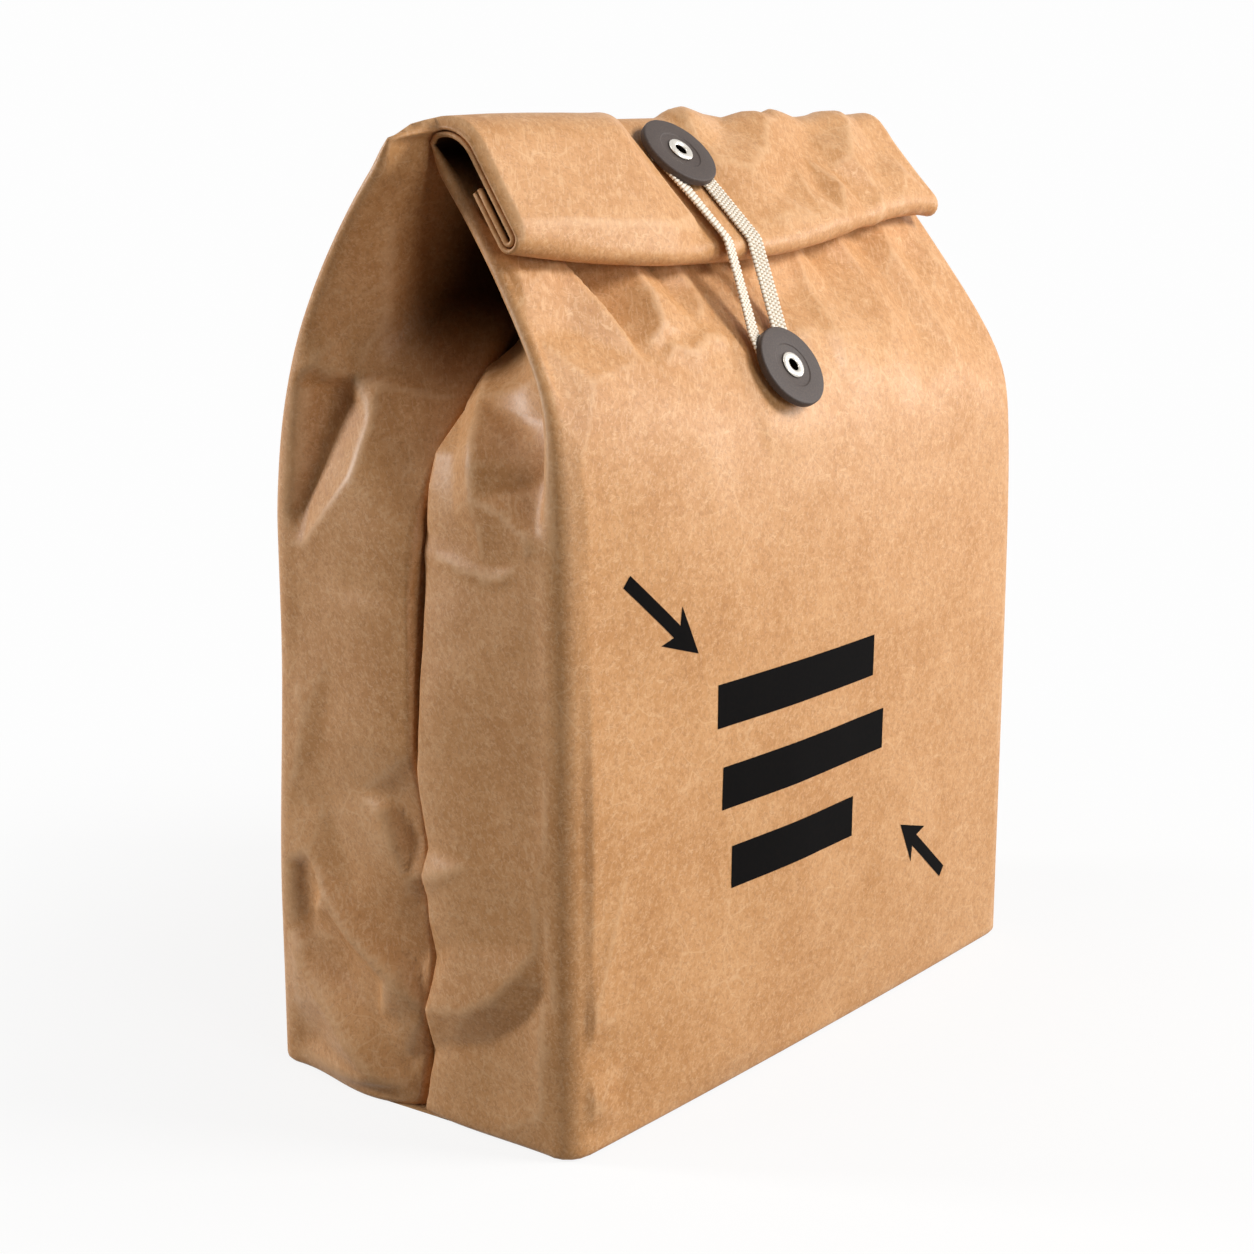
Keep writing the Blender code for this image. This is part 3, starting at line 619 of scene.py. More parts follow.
def left_relief(y, z):
    """Folds of the left side: the facets at its shoulder and the diagonal folds above the base."""
    lines = [
        # Pinch at the back half's shoulder: a deep valley between two raised lines
        [(26, 208, -4.0), (32, 199, -4.4), (37, 187, -3.6), (42, 176, -2.4), (47, 166, 0.0)],
        [(8, 213, 0.6), (10, 208, 2.4), (12, 198, 3.0), (18, 184, 3.0), (28, 174, 2.4), (40, 163, 0.8)],
        [(49, 212, 0.8), (48, 196, 2.0), (48, 180, 1.6), (49, 164, 0.6)],
        [(26, 208, -4.0), (35, 208.5, -1.6), (46, 210, 1.4)],
        [(20, 212, 0.6), (27, 212, 1.2), (34, 215, 1.6), (44, 219, 0.8)],
        [(2, 222, 0.6), (9, 227, 2.6), (9, 240, 3.4), (6, 252, 3.0)],
        [(24, 224, 0.8), (20, 234, 1.8), (18, 248, 1.4)],
        # Front half: a hollow behind the front edge, and the light facets beside it
        [(-47, 219, -2.4), (-47, 207, -5.0), (-48, 192, -5.2), (-49, 179, -2.4), (-50, 171, 0.2)],
        [(-31, 216, 0.8), (-30, 206, 2.2), (-28, 196, 3.0), (-28, 184, 2.6), (-38, 180, 1.4),
         (-47, 174, 1.0)],
        [(-41, 213, -1.2), (-39, 205, -2.6), (-37, 195, -1.2), (-40, 187, -2.4)],
        [(-22, 205, 0.6), (-18, 192, 0.2), (-19, 178, 0.4)],
        *ridge_lines([(-10, 165), (-17, 164.5), (-23, 163), (-30, 162), (-36, 163), (-43, 168)], 0.8, 2.4),
        # Diagonal folds above the base
        [(52, 82, 0.4), (41, 70, 1.4), (33, 58, 3.0), (22, 49, 3.0), (8, 40, 2.4), (-4, 32, 1.0)],
        [(53, 66, 1.0), (47, 63, -1.2), (40, 60, -1.0), (44, 50, -1.6), (31, 46, -1.4), (16, 36, -1.6)],
        [(24, 60, -0.6), (10, 50, -1.4), (0, 44, -1.6)],
        [(54, 44, 1.4), (44, 36, 2.2), (34, 26, 2.8), (24, 16, 3.0), (14, 7, 2.2)],
        [(44, 44, -0.8), (30, 34, -2.0), (17, 24, -2.4), (6, 13, -2.0), (0, 6, -0.6)],
        [(20, 93, 0.2), (11, 89, 1.7), (6, 80, 1.8), (1, 70, 1.4), (-2, 63, 0.2)],
        [(6, 92, -0.8), (0, 82, -1.2)],
        [(-8, 34, 0.9), (-22, 38, 1.9), (-32, 44, 2.2), (-40, 52, 1.8), (-46, 61, 0.4)],
        [(-14, 24, -1.0), (-28, 28, -1.3), (-42, 40, -0.9), (-49, 50, -0.6)],
        [(-50, 34, 0.8), (-44, 24, -0.2), (-48, 12, 0.7)],
        [(46, 122, 0.9), (40, 114, 1.2), (34, 108, 0.2)],
    ]

    field = facet_field(y, z, SIDE_AREA, lines, graded(16.0, 16.0), graded(0.45, 0.8, 130.0, 205.0), 23)
    fine = facet_field(y, z, SIDE_AREA, [], graded(7.0, 7.0), graded(0.16, 0.16), 24)
    return SIDE_STRENGTH * field + FINE_STRENGTH * fine + 0.5 * rolling(y, z, 60.0, 5)


def flap_relief(x, s):
    """Folds of the rolled flap: nearly smooth left of the buttons and sharply crumpled right of them."""
    lines = [
        [(2, 2, 0.2), (8, 10, 1.8), (14, 22, 0.3), (16, 34, 1.6), (22, 46, 0.3)],
        [(16, 2, 1.2), (24, 12, -0.9), (31, 26, 1.7), (28, 42, -0.6)],
        [(38, 2, -0.8), (43, 14, 2.0), (54, 27, -0.6), (58, 42, 1.4)],
        [(60, 4, 1.7), (66, 18, -0.8), (76, 30, 1.8), (80, 44, 0.2)],
        [(82, 3, 0.4), (90, 16, 1.9), (98, 28, -0.5), (102, 40, 1.2)],
        [(31, 26, 1.7), (43, 32, 0.1), (54, 27, -0.6)],
        [(8, 10, 1.8), (24, 12, -0.9), (43, 14, 2.0)],
        [(-46, 3, 0.4), (-62, 14, 0.9), (-84, 30, 0.3)],
        [(-72, 3, 0.1), (-90, 14, 0.8), (-106, 26, 0.0)],
    ]

    field = facet_field(x, s, FLAP_AREA, lines, graded(22.0, 9.5, *FLAP_RISE, axis=0),
                        graded(0.5, 1.3, *FLAP_RISE, axis=0), 31)
    return mix(*FLAP_STRENGTH, ease(x, *FLAP_RISE)) * field + 0.3 * rolling(x, s, 45.0, 8)


def wander_folds(grid):
    """Shifts the fold down the middle of each side forward, and the halves beside it ever less."""
    shift = np.interp(grid[..., 2] / MM, WANDER_HEIGHTS, WANDER_SHIFTS) * MM
    grid[..., 1] += shift * FOLD_NEARNESS ** 2


def plain_relief(u, v, box, seed):
    """Folds of a wall that is out of the picture: the same paper, with chance creases."""
    field = facet_field(u, v, box, [], graded(24.0, 13.0, *PLAIN_RISE),
                        graded(0.35, 0.85, *PLAIN_RISE), seed)
    return PLAIN_STRENGTH * field + 0.5 * rolling(u, v, 70.0, seed + 1)


def right_relief(y, z):
    return plain_relief(y, z, SIDE_AREA, 47)


def paper_relief(grid, climbs):
    """Outward shift of every point of the paper, in metres."""
    rows, columns, _ = grid.shape
    starts = np.cumsum([0, WALL_COLUMNS, SIDE_POINTS + 1, SIDE_POINTS, WALL_COLUMNS, SIDE_POINTS,
                        SIDE_POINTS + 1])
    front, right_near, right_far, back, left_far, left_near = (
        slice(a, b) for a, b in zip(starts, starts[1:]))
    x, y, z = (grid[..., i] / MM for i in range(3))
    relief = np.zeros((rows, columns))
    steps = np.linalg.norm(np.diff(grid, axis=0), axis=-1) / MM
    run = np.vstack([np.zeros(columns), np.cumsum(steps, axis=0)])
    past = run - run[int(np.argmax(climbs > 1.0)) - 1]

    # Front wall: it fades out at its corners, at the closure, at the base and inside the roll
    xf, zf = x[:, front], z[:, front]
    edge = ease(FRONT_HALF - np.abs(xf), 2.0, 9.0)
    closure = 1 - (1 - ease(np.abs(xf - CLOSURE_X / MM), 13.0, 21.0)) * ease(zf, 182.0, 196.0)
    fade = edge * closure * ease(zf, 1.0, 9.0) * (1 - ease(climbs, 0.86, 0.98))[:, None]
    relief[:, front] = front_relief(xf, zf) * fade

    # Sides: each half fades out at its corner and at the fold in the middle
    corner = ease(np.arange(SIDE_POINTS), 3, len(CORNER_SHARES) + 1)
    last = len(CORNER_SHARES) + len(HALF_SHARES)
    half = corner * (1 - ease(np.arange(SIDE_POINTS), last - 6, last - 1))
    upper = (1 - ease(climbs, 0.62, 0.92))[:, None]
    for area, weights, relief_of in (
            (left_near, np.append(half, 0.0)[::-1], left_relief),
            (left_far, half, left_relief),
            (right_near, np.append(half, 0.0), right_relief),
            (right_far, half[::-1], right_relief)):
        ya, za = y[:, area] + SIGHT_SLOPE * (np.abs(x[:, area]) - BODY_WIDTH / 2 / MM), z[:, area]
        relief[:, area] = relief_of(ya, za) * weights * ease(za, 0.5, 7.0) * upper

    # Back wall, and the same paper over the ridge and down the front as the flap
    xb, zb = x[:, back], z[:, back]
    edge = ease(BACK_HALF - np.abs(xb), 2.0, 9.0)
    wall = plain_relief(xb, zb, BACK_AREA, 53) * edge * ease(zb, 1.0, 9.0)
    off = xb - CLOSURE_X / MM
    closure = np.where(off < 0, ease(-off, 12.6, 14.6), ease(off, 12.8, 19.0))
    flap = (1.1 + 0.9 * (off < 0) + flap_relief(xb, past[:, back])) * closure
    flap = np.maximum(flap, 0.0) * ease(np.abs(past[:, back]), 0.0, 3.0)
    outside = ease(past[:, back], 0.0, 8.0) * (1 - ease(past[:, back], 52.0, 60.0))
    tail = (1 - ease(climbs, 0.8, 0.97))[:, None]
    relief[:, back] = wall * tail + flap * outside
    return relief * MM


def fold_shade(climbs):
    """How little light reaches the paper inside its side folds and under its roll, 0 to 1."""
    slot = ease(FOLD_NEARNESS, 0.990, 0.997)
    pocket = ease(FOLD_NEARNESS, 0.22, 0.66)
    rise = (ease(climbs, 0.38, 0.62) * (1 - ease(climbs, 1.0, 1.1)))[:, None]
    shade = np.maximum(slot, pocket * rise) * (climbs < 1.05)[:, None]
    shade[:, :WALL_COLUMNS] = ease(climbs, 0.90, 0.98)[:, None]
    return shade


def crest_wear(relief):
    """How rubbed the paper is along the raised folds of its relief, 0 to 1."""
    level = relief / MM
    bend = np.zeros_like(level)
    bend[:, 1:-1] += 2 * level[:, 1:-1] - level[:, 2:] - level[:, :-2]
    bend[1:-1] += 2 * level[1:-1] - level[2:] - level[:-2]
    return np.clip((bend - 0.06) / 0.35, 0.0, 1.0)


def grid_mesh(name, grid):
    """Closed mesh over rows of rings, with its base and its hidden mouth bridged wall to wall."""
    rows, columns, _ = grid.shape
    tip = WALL_COLUMNS + SIDE_POINTS
    index = np.arange(rows * columns).reshape(rows, columns)
    low, high = index[:-1], index[1:]
    after = np.roll(index, -1, axis=1)
    quads = np.stack([low, after[:-1], after[1:], high], -1).reshape(-1, 4)
    faces = quads.tolist()
    for row, turned_over in ((0, True), (rows - 1, False)):
        for i in range(-SIDE_POINTS - 1, tip):
            corners = []
            for j in (i, i + 1, 2 * tip - i - 1, 2 * tip - i):
                spot = int(index[row, j % columns])
                if spot not in corners:
                    corners.append(spot)
            faces.append(corners[::-1] if turned_over else corners)
    mesh = bpy.data.meshes.new(name)
    mesh.from_pydata(grid.reshape(-1, 3).tolist(), [], faces)
    mesh.validate()
    return mesh


def store_attribute(mesh, name, values):
    layer = mesh.attributes.new(name, "FLOAT", "POINT")
    layer.data.foreach_set("value", values.astype(np.float32).ravel())


def add_piece(name, mesh, material=None):
    piece = bpy.data.objects.new(name, mesh)
    bpy.context.scene.collection.objects.link(piece)
    if material is not None:
        mesh.materials.append(material)
    return piece


def fill_inputs(tree, node, inputs):
    """Links the sockets among a node's inputs, and sets the values."""
    for key, value in inputs.items():
        if isinstance(value, bpy.types.NodeSocket):
            tree.links.new(value, node.inputs[key])
        else:
            node.inputs[key].default_value = value


def add_node(tree, kind, inputs=None, **settings):
    """A node with its settings, and its inputs as values or as sockets to link."""
    node = tree.nodes.new(kind)
    for name, value in settings.items():
        setattr(node, name, value)
    fill_inputs(tree, node, inputs or {})
    return node


def new_material(name):
    """An empty Principled material, its tree, its shader and the place in the object's own frame."""
    made = bpy.data.materials.new(name)
    made.use_nodes = True
    tree = made.node_tree
    place = add_node(tree, "ShaderNodeTexCoord").outputs["Object"]
    return made, tree, tree.nodes["Principled BSDF"], place


def scale_for(millimetres):
    """Texture scale that makes one feature as long as the given size."""
    return 1.0 / (millimetres * MM)


def noise_value(tree, coordinates, millimetres, detail=3.0, roughness=0.55, distortion=0.0):
    made = add_node(tree, "ShaderNodeTexNoise", {
        "Vector": coordinates, "Scale": scale_for(millimetres), "Detail": detail,
        "Roughness": roughness, "Distortion": distortion})
    return made.outputs["Fac"]


def remapped(tree, value, low, high, to_low=0.0, to_high=1.0):
    made = add_node(tree, "ShaderNodeMapRange", {
        "Value": value, "From Min": low, "From Max": high, "To Min": to_low, "To Max": to_high},
        interpolation_type="SMOOTHSTEP")
    return made.outputs["Result"]


def blended(tree, factor, first, second):
    """First colour turned into the second one by a factor."""
    first, second = (
        colour if isinstance(colour, bpy.types.NodeSocket) else (*colour, 1.0) for colour in (first, second))
    return add_node(tree, "ShaderNodeMix", {0: factor, 6: first, 7: second}, data_type="RGBA").outputs[2]


def maths(tree, operation, first, second=0.0):
    """Result of a sum on two values or sockets."""
    return add_node(tree, "ShaderNodeMath", {0: first, 1: second}, operation=operation).outputs[0]


def painted(tree, name):
    """Value of a named attribute of the mesh."""
    return add_node(tree, "ShaderNodeAttribute", attribute_name=name).outputs["Fac"]


def bumped(tree, height, distance, strength):
    return add_node(tree, "ShaderNodeBump", {
        "Height": height, "Distance": distance, "Strength": strength}).outputs[0]


def kraft_paper(colours):
    """Washable kraft board, calendered and crumpled.

    The eye gets a tan sheet with faint clouds, a web of fine dark and pale fibres, a soft satin sheen,
    slightly paler rubbed paper along the raised folds, and painted shade: a nearly black colour deep in the
    side folds and inside the roll.
    """
    made, tree, shader, place = new_material("calendered_kraft_paper")
    clouds = noise_value(tree, place, 32.0, 3.0, 0.55)
    flecks = noise_value(tree, place, 3.4, 2.0, 0.6)
    base = blended(tree, remapped(tree, clouds, 0.25, 0.75), colours.paper_dark, colours.paper)
    base = blended(tree, remapped(tree, flecks, 0.35, 0.70, 0.0, 0.4), base, colours.paper_light)

    # Felted fibres: short slanting streaks that cross, darker one way and paler the other
    for turn, limits, tint in (((0.5, -1.0, 0.0), (0.36, 0.50, 0.26, 0.0), colours.paper_fibre),
                               ((-0.4, 0.8, 0.3), (0.50, 0.66, 0.0, 0.40), colours.paper_worn)):
        slanted = add_node(tree, "ShaderNodeMapping", {
            "Vector": place, "Rotation": turn, "Scale": (1.0, 1.0, 4.0)}, vector_type="TEXTURE").outputs[0]
        felt = noise_value(tree, slanted, 0.9, 2.0, 0.6, 0.6)
        base = blended(tree, remapped(tree, felt, *limits), base, tint)

    # Fibres: thin winding lines where a stretched noise crosses its middle value, in broken lengths
    threads = []
    for turn, stretch in ((0.5, (1.0, 1.0, 0.30)), (-0.9, (0.35, 0.6, 1.0))):
        turned = add_node(tree, "ShaderNodeMapping", {
            "Vector": place, "Rotation": (turn, turn * 0.6, turn * 0.8), "Scale": stretch}).outputs[0]
        line = noise_value(tree, turned, 3.0, 1.0, 0.5, 1.4)
        off_middle = maths(tree, "ABSOLUTE", maths(tree, "SUBTRACT", line, 0.5))
        threads.append(remapped(tree, off_middle, 0.0, 0.016, 1.0, 0.0))
    dark = maths(tree, "MULTIPLY", threads[0], remapped(tree, flecks, 0.46, 0.56, 0.22, 0.0))
    pale = maths(tree, "MULTIPLY", threads[1], remapped(tree, flecks, 0.44, 0.54, 0.0, 0.55))
    base = blended(tree, dark, base, colours.paper_fibre)
    base = blended(tree, pale, base, colours.paper_worn)

    # Hairline creases: the broken web of thin pale lines that handling leaves
    wander = add_node(tree, "ShaderNodeTexNoise", {"Vector": place, "Scale": scale_for(11.0), "Detail": 1.0})
    bent = add_node(tree, "ShaderNodeVectorMath", {
        0: wander.outputs["Color"], 1: (0.011, 0.011, 0.011), 2: place}, operation="MULTIPLY_ADD").outputs[0]
    web = add_node(tree, "ShaderNodeTexVoronoi", {"Vector": bent, "Scale": scale_for(17.0)},
                   feature="DISTANCE_TO_EDGE").outputs["Distance"]
    crease = maths(tree, "MULTIPLY", remapped(tree, web, 0.0, 0.022, 1.0, 0.0),
                   remapped(tree, clouds, 0.46, 0.60, 0.0, 0.42))
    base = blended(tree, crease, base, colours.paper_worn)

    # Rubbed folds, and painted shade: the paper's colour turns nearly black where little light gets in, deep
    # in the folds and inside the roll, and loses its sheen there
    worn = remapped(tree, painted(tree, "fold_wear"), 0.1, 1.0, 0.0, 0.35)
    base = blended(tree, worn, base, colours.paper_worn)
    shade = painted(tree, "fold_shade")
    base = blended(tree, maths(tree, "MULTIPLY", shade, 0.93), base, colours.paper_painted_shade)
    fill_inputs(tree, shader, {
        "Base Color": base,
        "Roughness": remapped(tree, clouds, 0.3, 0.7, 0.56, 0.44),
        "Specular IOR Level": remapped(tree, shade, 0.0, 1.0, 0.34, 0.0),
        "Normal": bumped(tree, noise_value(tree, place, 1.3, 2.0, 0.6), 0.00014, 0.5)})
    return made


def printing_ink(colours):
    """Flexographic black ink on paper: nearly matt, with the paper's grain telling through it."""
    made, tree, shader, place = new_material("printed_black_ink")
    grain = noise_value(tree, place, 1.4, 3.0, 0.6)
    fill_inputs(tree, shader, {
        "Base Color": blended(
            tree, remapped(tree, grain, 0.35, 0.8, 0.0, 0.25), colours.ink, colours.ink_thin),
        "Roughness": 0.8, "Specular IOR Level": 0.05, "Normal": bumped(tree, grain, 0.00008, 0.4)})
    return made


def button_board(colours):
    """Pressed fibre board, dyed dark: matt with fine speckles."""
    made, tree, shader, place = new_material("pressed_fibre_board")
    speckle = noise_value(tree, place, 0.6, 4.0, 0.7)
    fill_inputs(tree, shader, {
        "Base Color": blended(tree, remapped(tree, speckle, 0.35, 0.7), colours.button_speckle_and_bore_shade, colours.button),
        "Roughness": remapped(tree, speckle, 0.3, 0.7, 0.52, 0.66),
        "Specular IOR Level": 0.3, "Normal": bumped(tree, speckle, 0.0001, 0.3)})
    return made


def washer_board(colours):
    """Punched brown board washer: matt, with a coarse fibre grain."""
    made, tree, shader, place = new_material("punched_brown_board")
    grain = remapped(tree, noise_value(tree, place, 0.8, 3.0, 0.6), 0.3, 0.7)
    fill_inputs(tree, shader, {
        "Base Color": blended(tree, grain, colours.washer, colours.paper_dark), "Roughness": 0.8})
    return made


def plated_eyelet(colours):
    """Nickel plated brass, rolled and clinched: a bright pale metal with faint tool marks, and painted shade
    in its bore.
    """
    made, tree, shader, place = new_material("nickel_plated_brass")
    marks = noise_value(tree, place, 0.5, 2.0, 0.5)
    tone = blended(tree, remapped(tree, marks, 0.3, 0.7), colours.eyelet, colours.eyelet_dark)
    fill_inputs(tree, shader, {
        # Painted shade: the eyelet's bore takes the buttons' dark speckle colour
        "Base Color": blended(tree, painted(tree, "bore_shade"), tone, colours.button_speckle_and_bore_shade),
        "Roughness": remapped(tree, marks, 0.3, 0.7, 0.22, 0.38), "Metallic": 1.0})
    return made


def cotton_tape(colours):
    """Woven cotton tape: undyed off-white yarn in ribs, matt, with soft painted shade between the yarns."""
    made, tree, shader, place = new_material("woven_cotton_tape")
    # Painted shade: the yarn's colour darkens where it sinks in each stitch
    yarn = remapped(tree, painted(tree, "yarn_height"), 0.05, 0.6)
    fuzz = noise_value(tree, place, 0.7, 3.0, 0.65)
    tone = blended(tree, yarn, colours.tape_shade_and_fuzz, colours.tape)
    fill_inputs(tree, shader, {
        "Base Color": blended(tree, remapped(tree, fuzz, 0.35, 0.75, 0.0, 0.35), tone, colours.tape_shade_and_fuzz),
        "Roughness": 0.85, "Sheen Weight": 0.15, "Normal": bumped(tree, fuzz, 0.0001, 0.5)})
    return made


def finish_of(name, maker):
    """The material of that name, made once."""
    return bpy.data.materials.get(name) or maker(bpy.context.scene.lunch_bag)


def seat_frame(point, angle):
    """Frame with its origin on the paper's outer face and its Z axis out of it."""
    facing = outward(angle)
    normal = Vector((0.0, facing[0], facing[1]))
    across_axis = Vector((1, 0, 0))
    turn = Matrix((across_axis, normal.cross(across_axis), normal)).transposed().to_4x4()
    return Matrix.Translation((CLOSURE_X, point[0], point[1])) @ turn


def upper_seat():
    start, direction, normal, _ = (part[0] for part in flap_line(AT_CLOSURE))
    point = start + direction * UPPER_BUTTON_DROP + normal * HALF_STACK
    return point, float(flap_angle(AT_CLOSURE)[0])


def lower_seat():
    height = LOWER_BUTTON_HEIGHT
    reach = SPACER_DIAMETER / 2
    above, below, here = (float(front_wall(AT_CLOSURE, np.array([level]))[0])
                          for level in (height + reach, height - reach, height))
    angle = math.pi - math.atan2(above - below, 2 * reach)
    return np.array([here, height]) + outward(angle) * PAPER_THICKNESS / 2, angle


def turned_mesh(name, profile, matrix, segments=96):
    """Ring turned from a closed profile of (radius, height) points, placed by a matrix."""
    body = bmesh.new()
    rings = []
    for step in range(segments):
        turn = 2 * math.pi * step / segments
        rings.append([body.verts.new((r * math.cos(turn), r * math.sin(turn), z)) for r, z in profile])
    for i, ring in enumerate(rings):
        after = rings[(i + 1) % segments]
        for j in range(len(profile)):
            k = (j + 1) % len(profile)
            body.faces.new((ring[j], after[j], after[k], ring[k]))
    bmesh.ops.recalc_face_normals(body, faces=body.faces)
    body.transform(matrix)
    mesh = bpy.data.meshes.new(name)
    body.to_mesh(mesh)
    body.free()
    mesh.shade_smooth()
    mesh.set_sharp_from_angle(angle=math.radians(40))
    # Painted shade: the bore, the innermost face of the turned ring, is marked to be coloured dark
    bore = min(r for r, _ in profile) + FIT_GAP / 10
    store_attribute(mesh, "bore_shade", np.tile([float(r < bore) for r, _ in profile], segments))
    return mesh


def arc_points(centre, radius, start, end, steps):
    """Points of an arc, in degrees from the outward direction."""
    made = []
    for step in range(steps + 1):
        turn = math.radians(mix(start, end, step / steps))
        made.append((centre[0] + radius * math.cos(turn), centre[1] + radius * math.sin(turn)))
    return made


def button_profile():
    """Disc with rounded edges and a shallow dish round the eyelet, drawn anticlockwise."""
    rim = BUTTON_DIAMETER / 2
    low, high = BUTTON_UNDERSIDE, BUTTON_FACE
    hole = EYELET_BARREL_DIAMETER / 2 + FIT_GAP
    dish = BUTTON_DISH_DIAMETER / 2
    depth = BUTTON_DISH_DEPTH
    profile = [(hole, low)]
    profile += arc_points((rim - BUTTON_EDGE, low + BUTTON_EDGE), BUTTON_EDGE, -90, 0, 5)
    profile += arc_points((rim - BUTTON_EDGE, high - BUTTON_EDGE), BUTTON_EDGE, 0, 90, 5)
    profile += arc_points((dish + depth * 2, high - depth), depth, 90, 150, 4)
    profile += [(dish + depth * 0.4, high - depth * 0.9), (dish, high - depth), (hole, high - depth)]
    return profile


def eyelet_profile():
    """Hollow rivet: rolled flange on the button's face, barrel through it, clinched behind."""
    barrel = EYELET_BARREL_DIAMETER / 2
    bore = barrel - EYELET_WALL
    flange = EYELET_FLANGE_DIAMETER / 2
    seat = BUTTON_FACE - BUTTON_DISH_DEPTH + FIT_GAP
    clinch = -(PAPER_THICKNESS + FIT_GAP + BACKING_THICKNESS + FIT_GAP)
    foot = BACKING_DIAMETER / 2 - EYELET_WALL
    crown = (flange + bore) / 2
    roll = (flange - bore) / 2
    profile = [(barrel, clinch), (barrel, seat), (flange, seat)]
    for step in range(1, 12):
        turn = math.radians(180 * step / 12)
        profile.append((crown + roll * math.cos(turn), seat + EYELET_CROWN * math.sin(turn)))
    profile += [(bore, seat), (bore, clinch - EYELET_WALL), (foot, clinch - EYELET_WALL), (foot, clinch)]
    return profile


def touching_angle(point, centre, radius):
    """Angle of a circle's normal where a line from an outside point touches it from the front."""
    offset = point - centre
    return math.atan2(offset[1], offset[0]) - math.acos(radius / np.hypot(*offset))


def closure_line():
    """Path from the upper post over the flap's edge to the lower post, as points and normals."""
    start, direction, normal, length = (part[0] for part in flap_line(AT_CLOSURE))
    upper_point, upper_angle = upper_seat()
    lower_point, lower_angle = lower_seat()
    lower_normal = outward(lower_angle)
    lower_post = lower_point + lower_normal * TAPE_LEVEL
    turn_centre = start + direction * length - normal * TURN_RADIUS
    turn_radius = TURN_RADIUS + HALF_STACK + TAPE_LEVEL
    settle = lower_post - along(lower_angle) * BUTTON_DIAMETER / 2
    leave = touching_angle(settle, turn_centre, turn_radius) % (2 * math.pi)
    places, normals = [upper_point + normal * TAPE_LEVEL], [normal]
    for here in np.linspace(upper_angle, leave, 16):
        places.append(turn_centre + outward(here) * turn_radius)
        normals.append(outward(here))
    rounded = (outward(leave) + lower_normal) / 2
    places += [settle, lower_post]
    normals += [rounded / np.hypot(*rounded), lower_normal]
    return np.array(places), np.array(normals)


def tape_path_mesh():
    """Closed line along the middle of the tape, with the way that its face looks at each point."""
    places, normals = closure_line()
    gone = np.append(0.0, np.cumsum(np.linalg.norm(np.diff(places, axis=0), axis=1)))
    end = gone[-1]

    def at(distance):
        inner = np.clip(distance, 0.0, end)
        spot = np.array([np.interp(inner, gone, places[:, i]) for i in (0, 1)])
        facing = np.array([np.interp(inner, gone, normals[:, i]) for i in (0, 1)])
        facing /= np.hypot(*facing)
        return spot + (distance - inner) * np.array([-facing[1], facing[0]]), facing

    radius = TAPE_INNER_RADIUS + TAPE_WIDTH / 2
    steps = np.linspace(0.0, end, 90)[1:-1]
    turns = np.linspace(0.0, math.pi, 25)
    stations = [(radius, s, 0.0) for s in steps]
    stations += [(radius * math.cos(t), end + radius * math.sin(t), 0.0) for t in turns]
    stations += [(-radius, s, s / end) for s in steps[::-1]]
    stations += [(-radius * math.cos(t), -radius * math.sin(t), 0.0) for t in turns]
    points, facings = [], []
    for side, distance, share in stations:
        spot, facing = at(distance)
        slack = math.sin(math.pi * share) ** 0.5 if 0 < share < 1 else 0.0
        spot = spot + facing * STRAND_LIFT * slack
        twist = STRAND_TWIST * slack
        points.append((CLOSURE_X + side, *spot))
        facings.append((math.sin(twist), *(facing * math.cos(twist))))
    mesh = bpy.data.meshes.new("tape_path")
    count = len(points)
    mesh.from_pydata(points, [(i, (i + 1) % count) for i in range(count)], [])
    layer = mesh.attributes.new("facing", "FLOAT_VECTOR", "POINT")
    layer.data.foreach_set("vector", np.array(facings, np.float32).ravel())
    return mesh


def stored(group, geometry, name, value, domain="POINT"):
    """The geometry with a named value on it."""
    return add_node(group, "GeometryNodeStoreNamedAttribute", {
        "Geometry": geometry, "Name": name, "Value": value}, data_type="FLOAT", domain=domain).outputs[0]


def named(group, name, data_type="FLOAT"):
    return add_node(group, "GeometryNodeInputNamedAttribute", {"Name": name},
                    data_type=data_type).outputs["Attribute"]


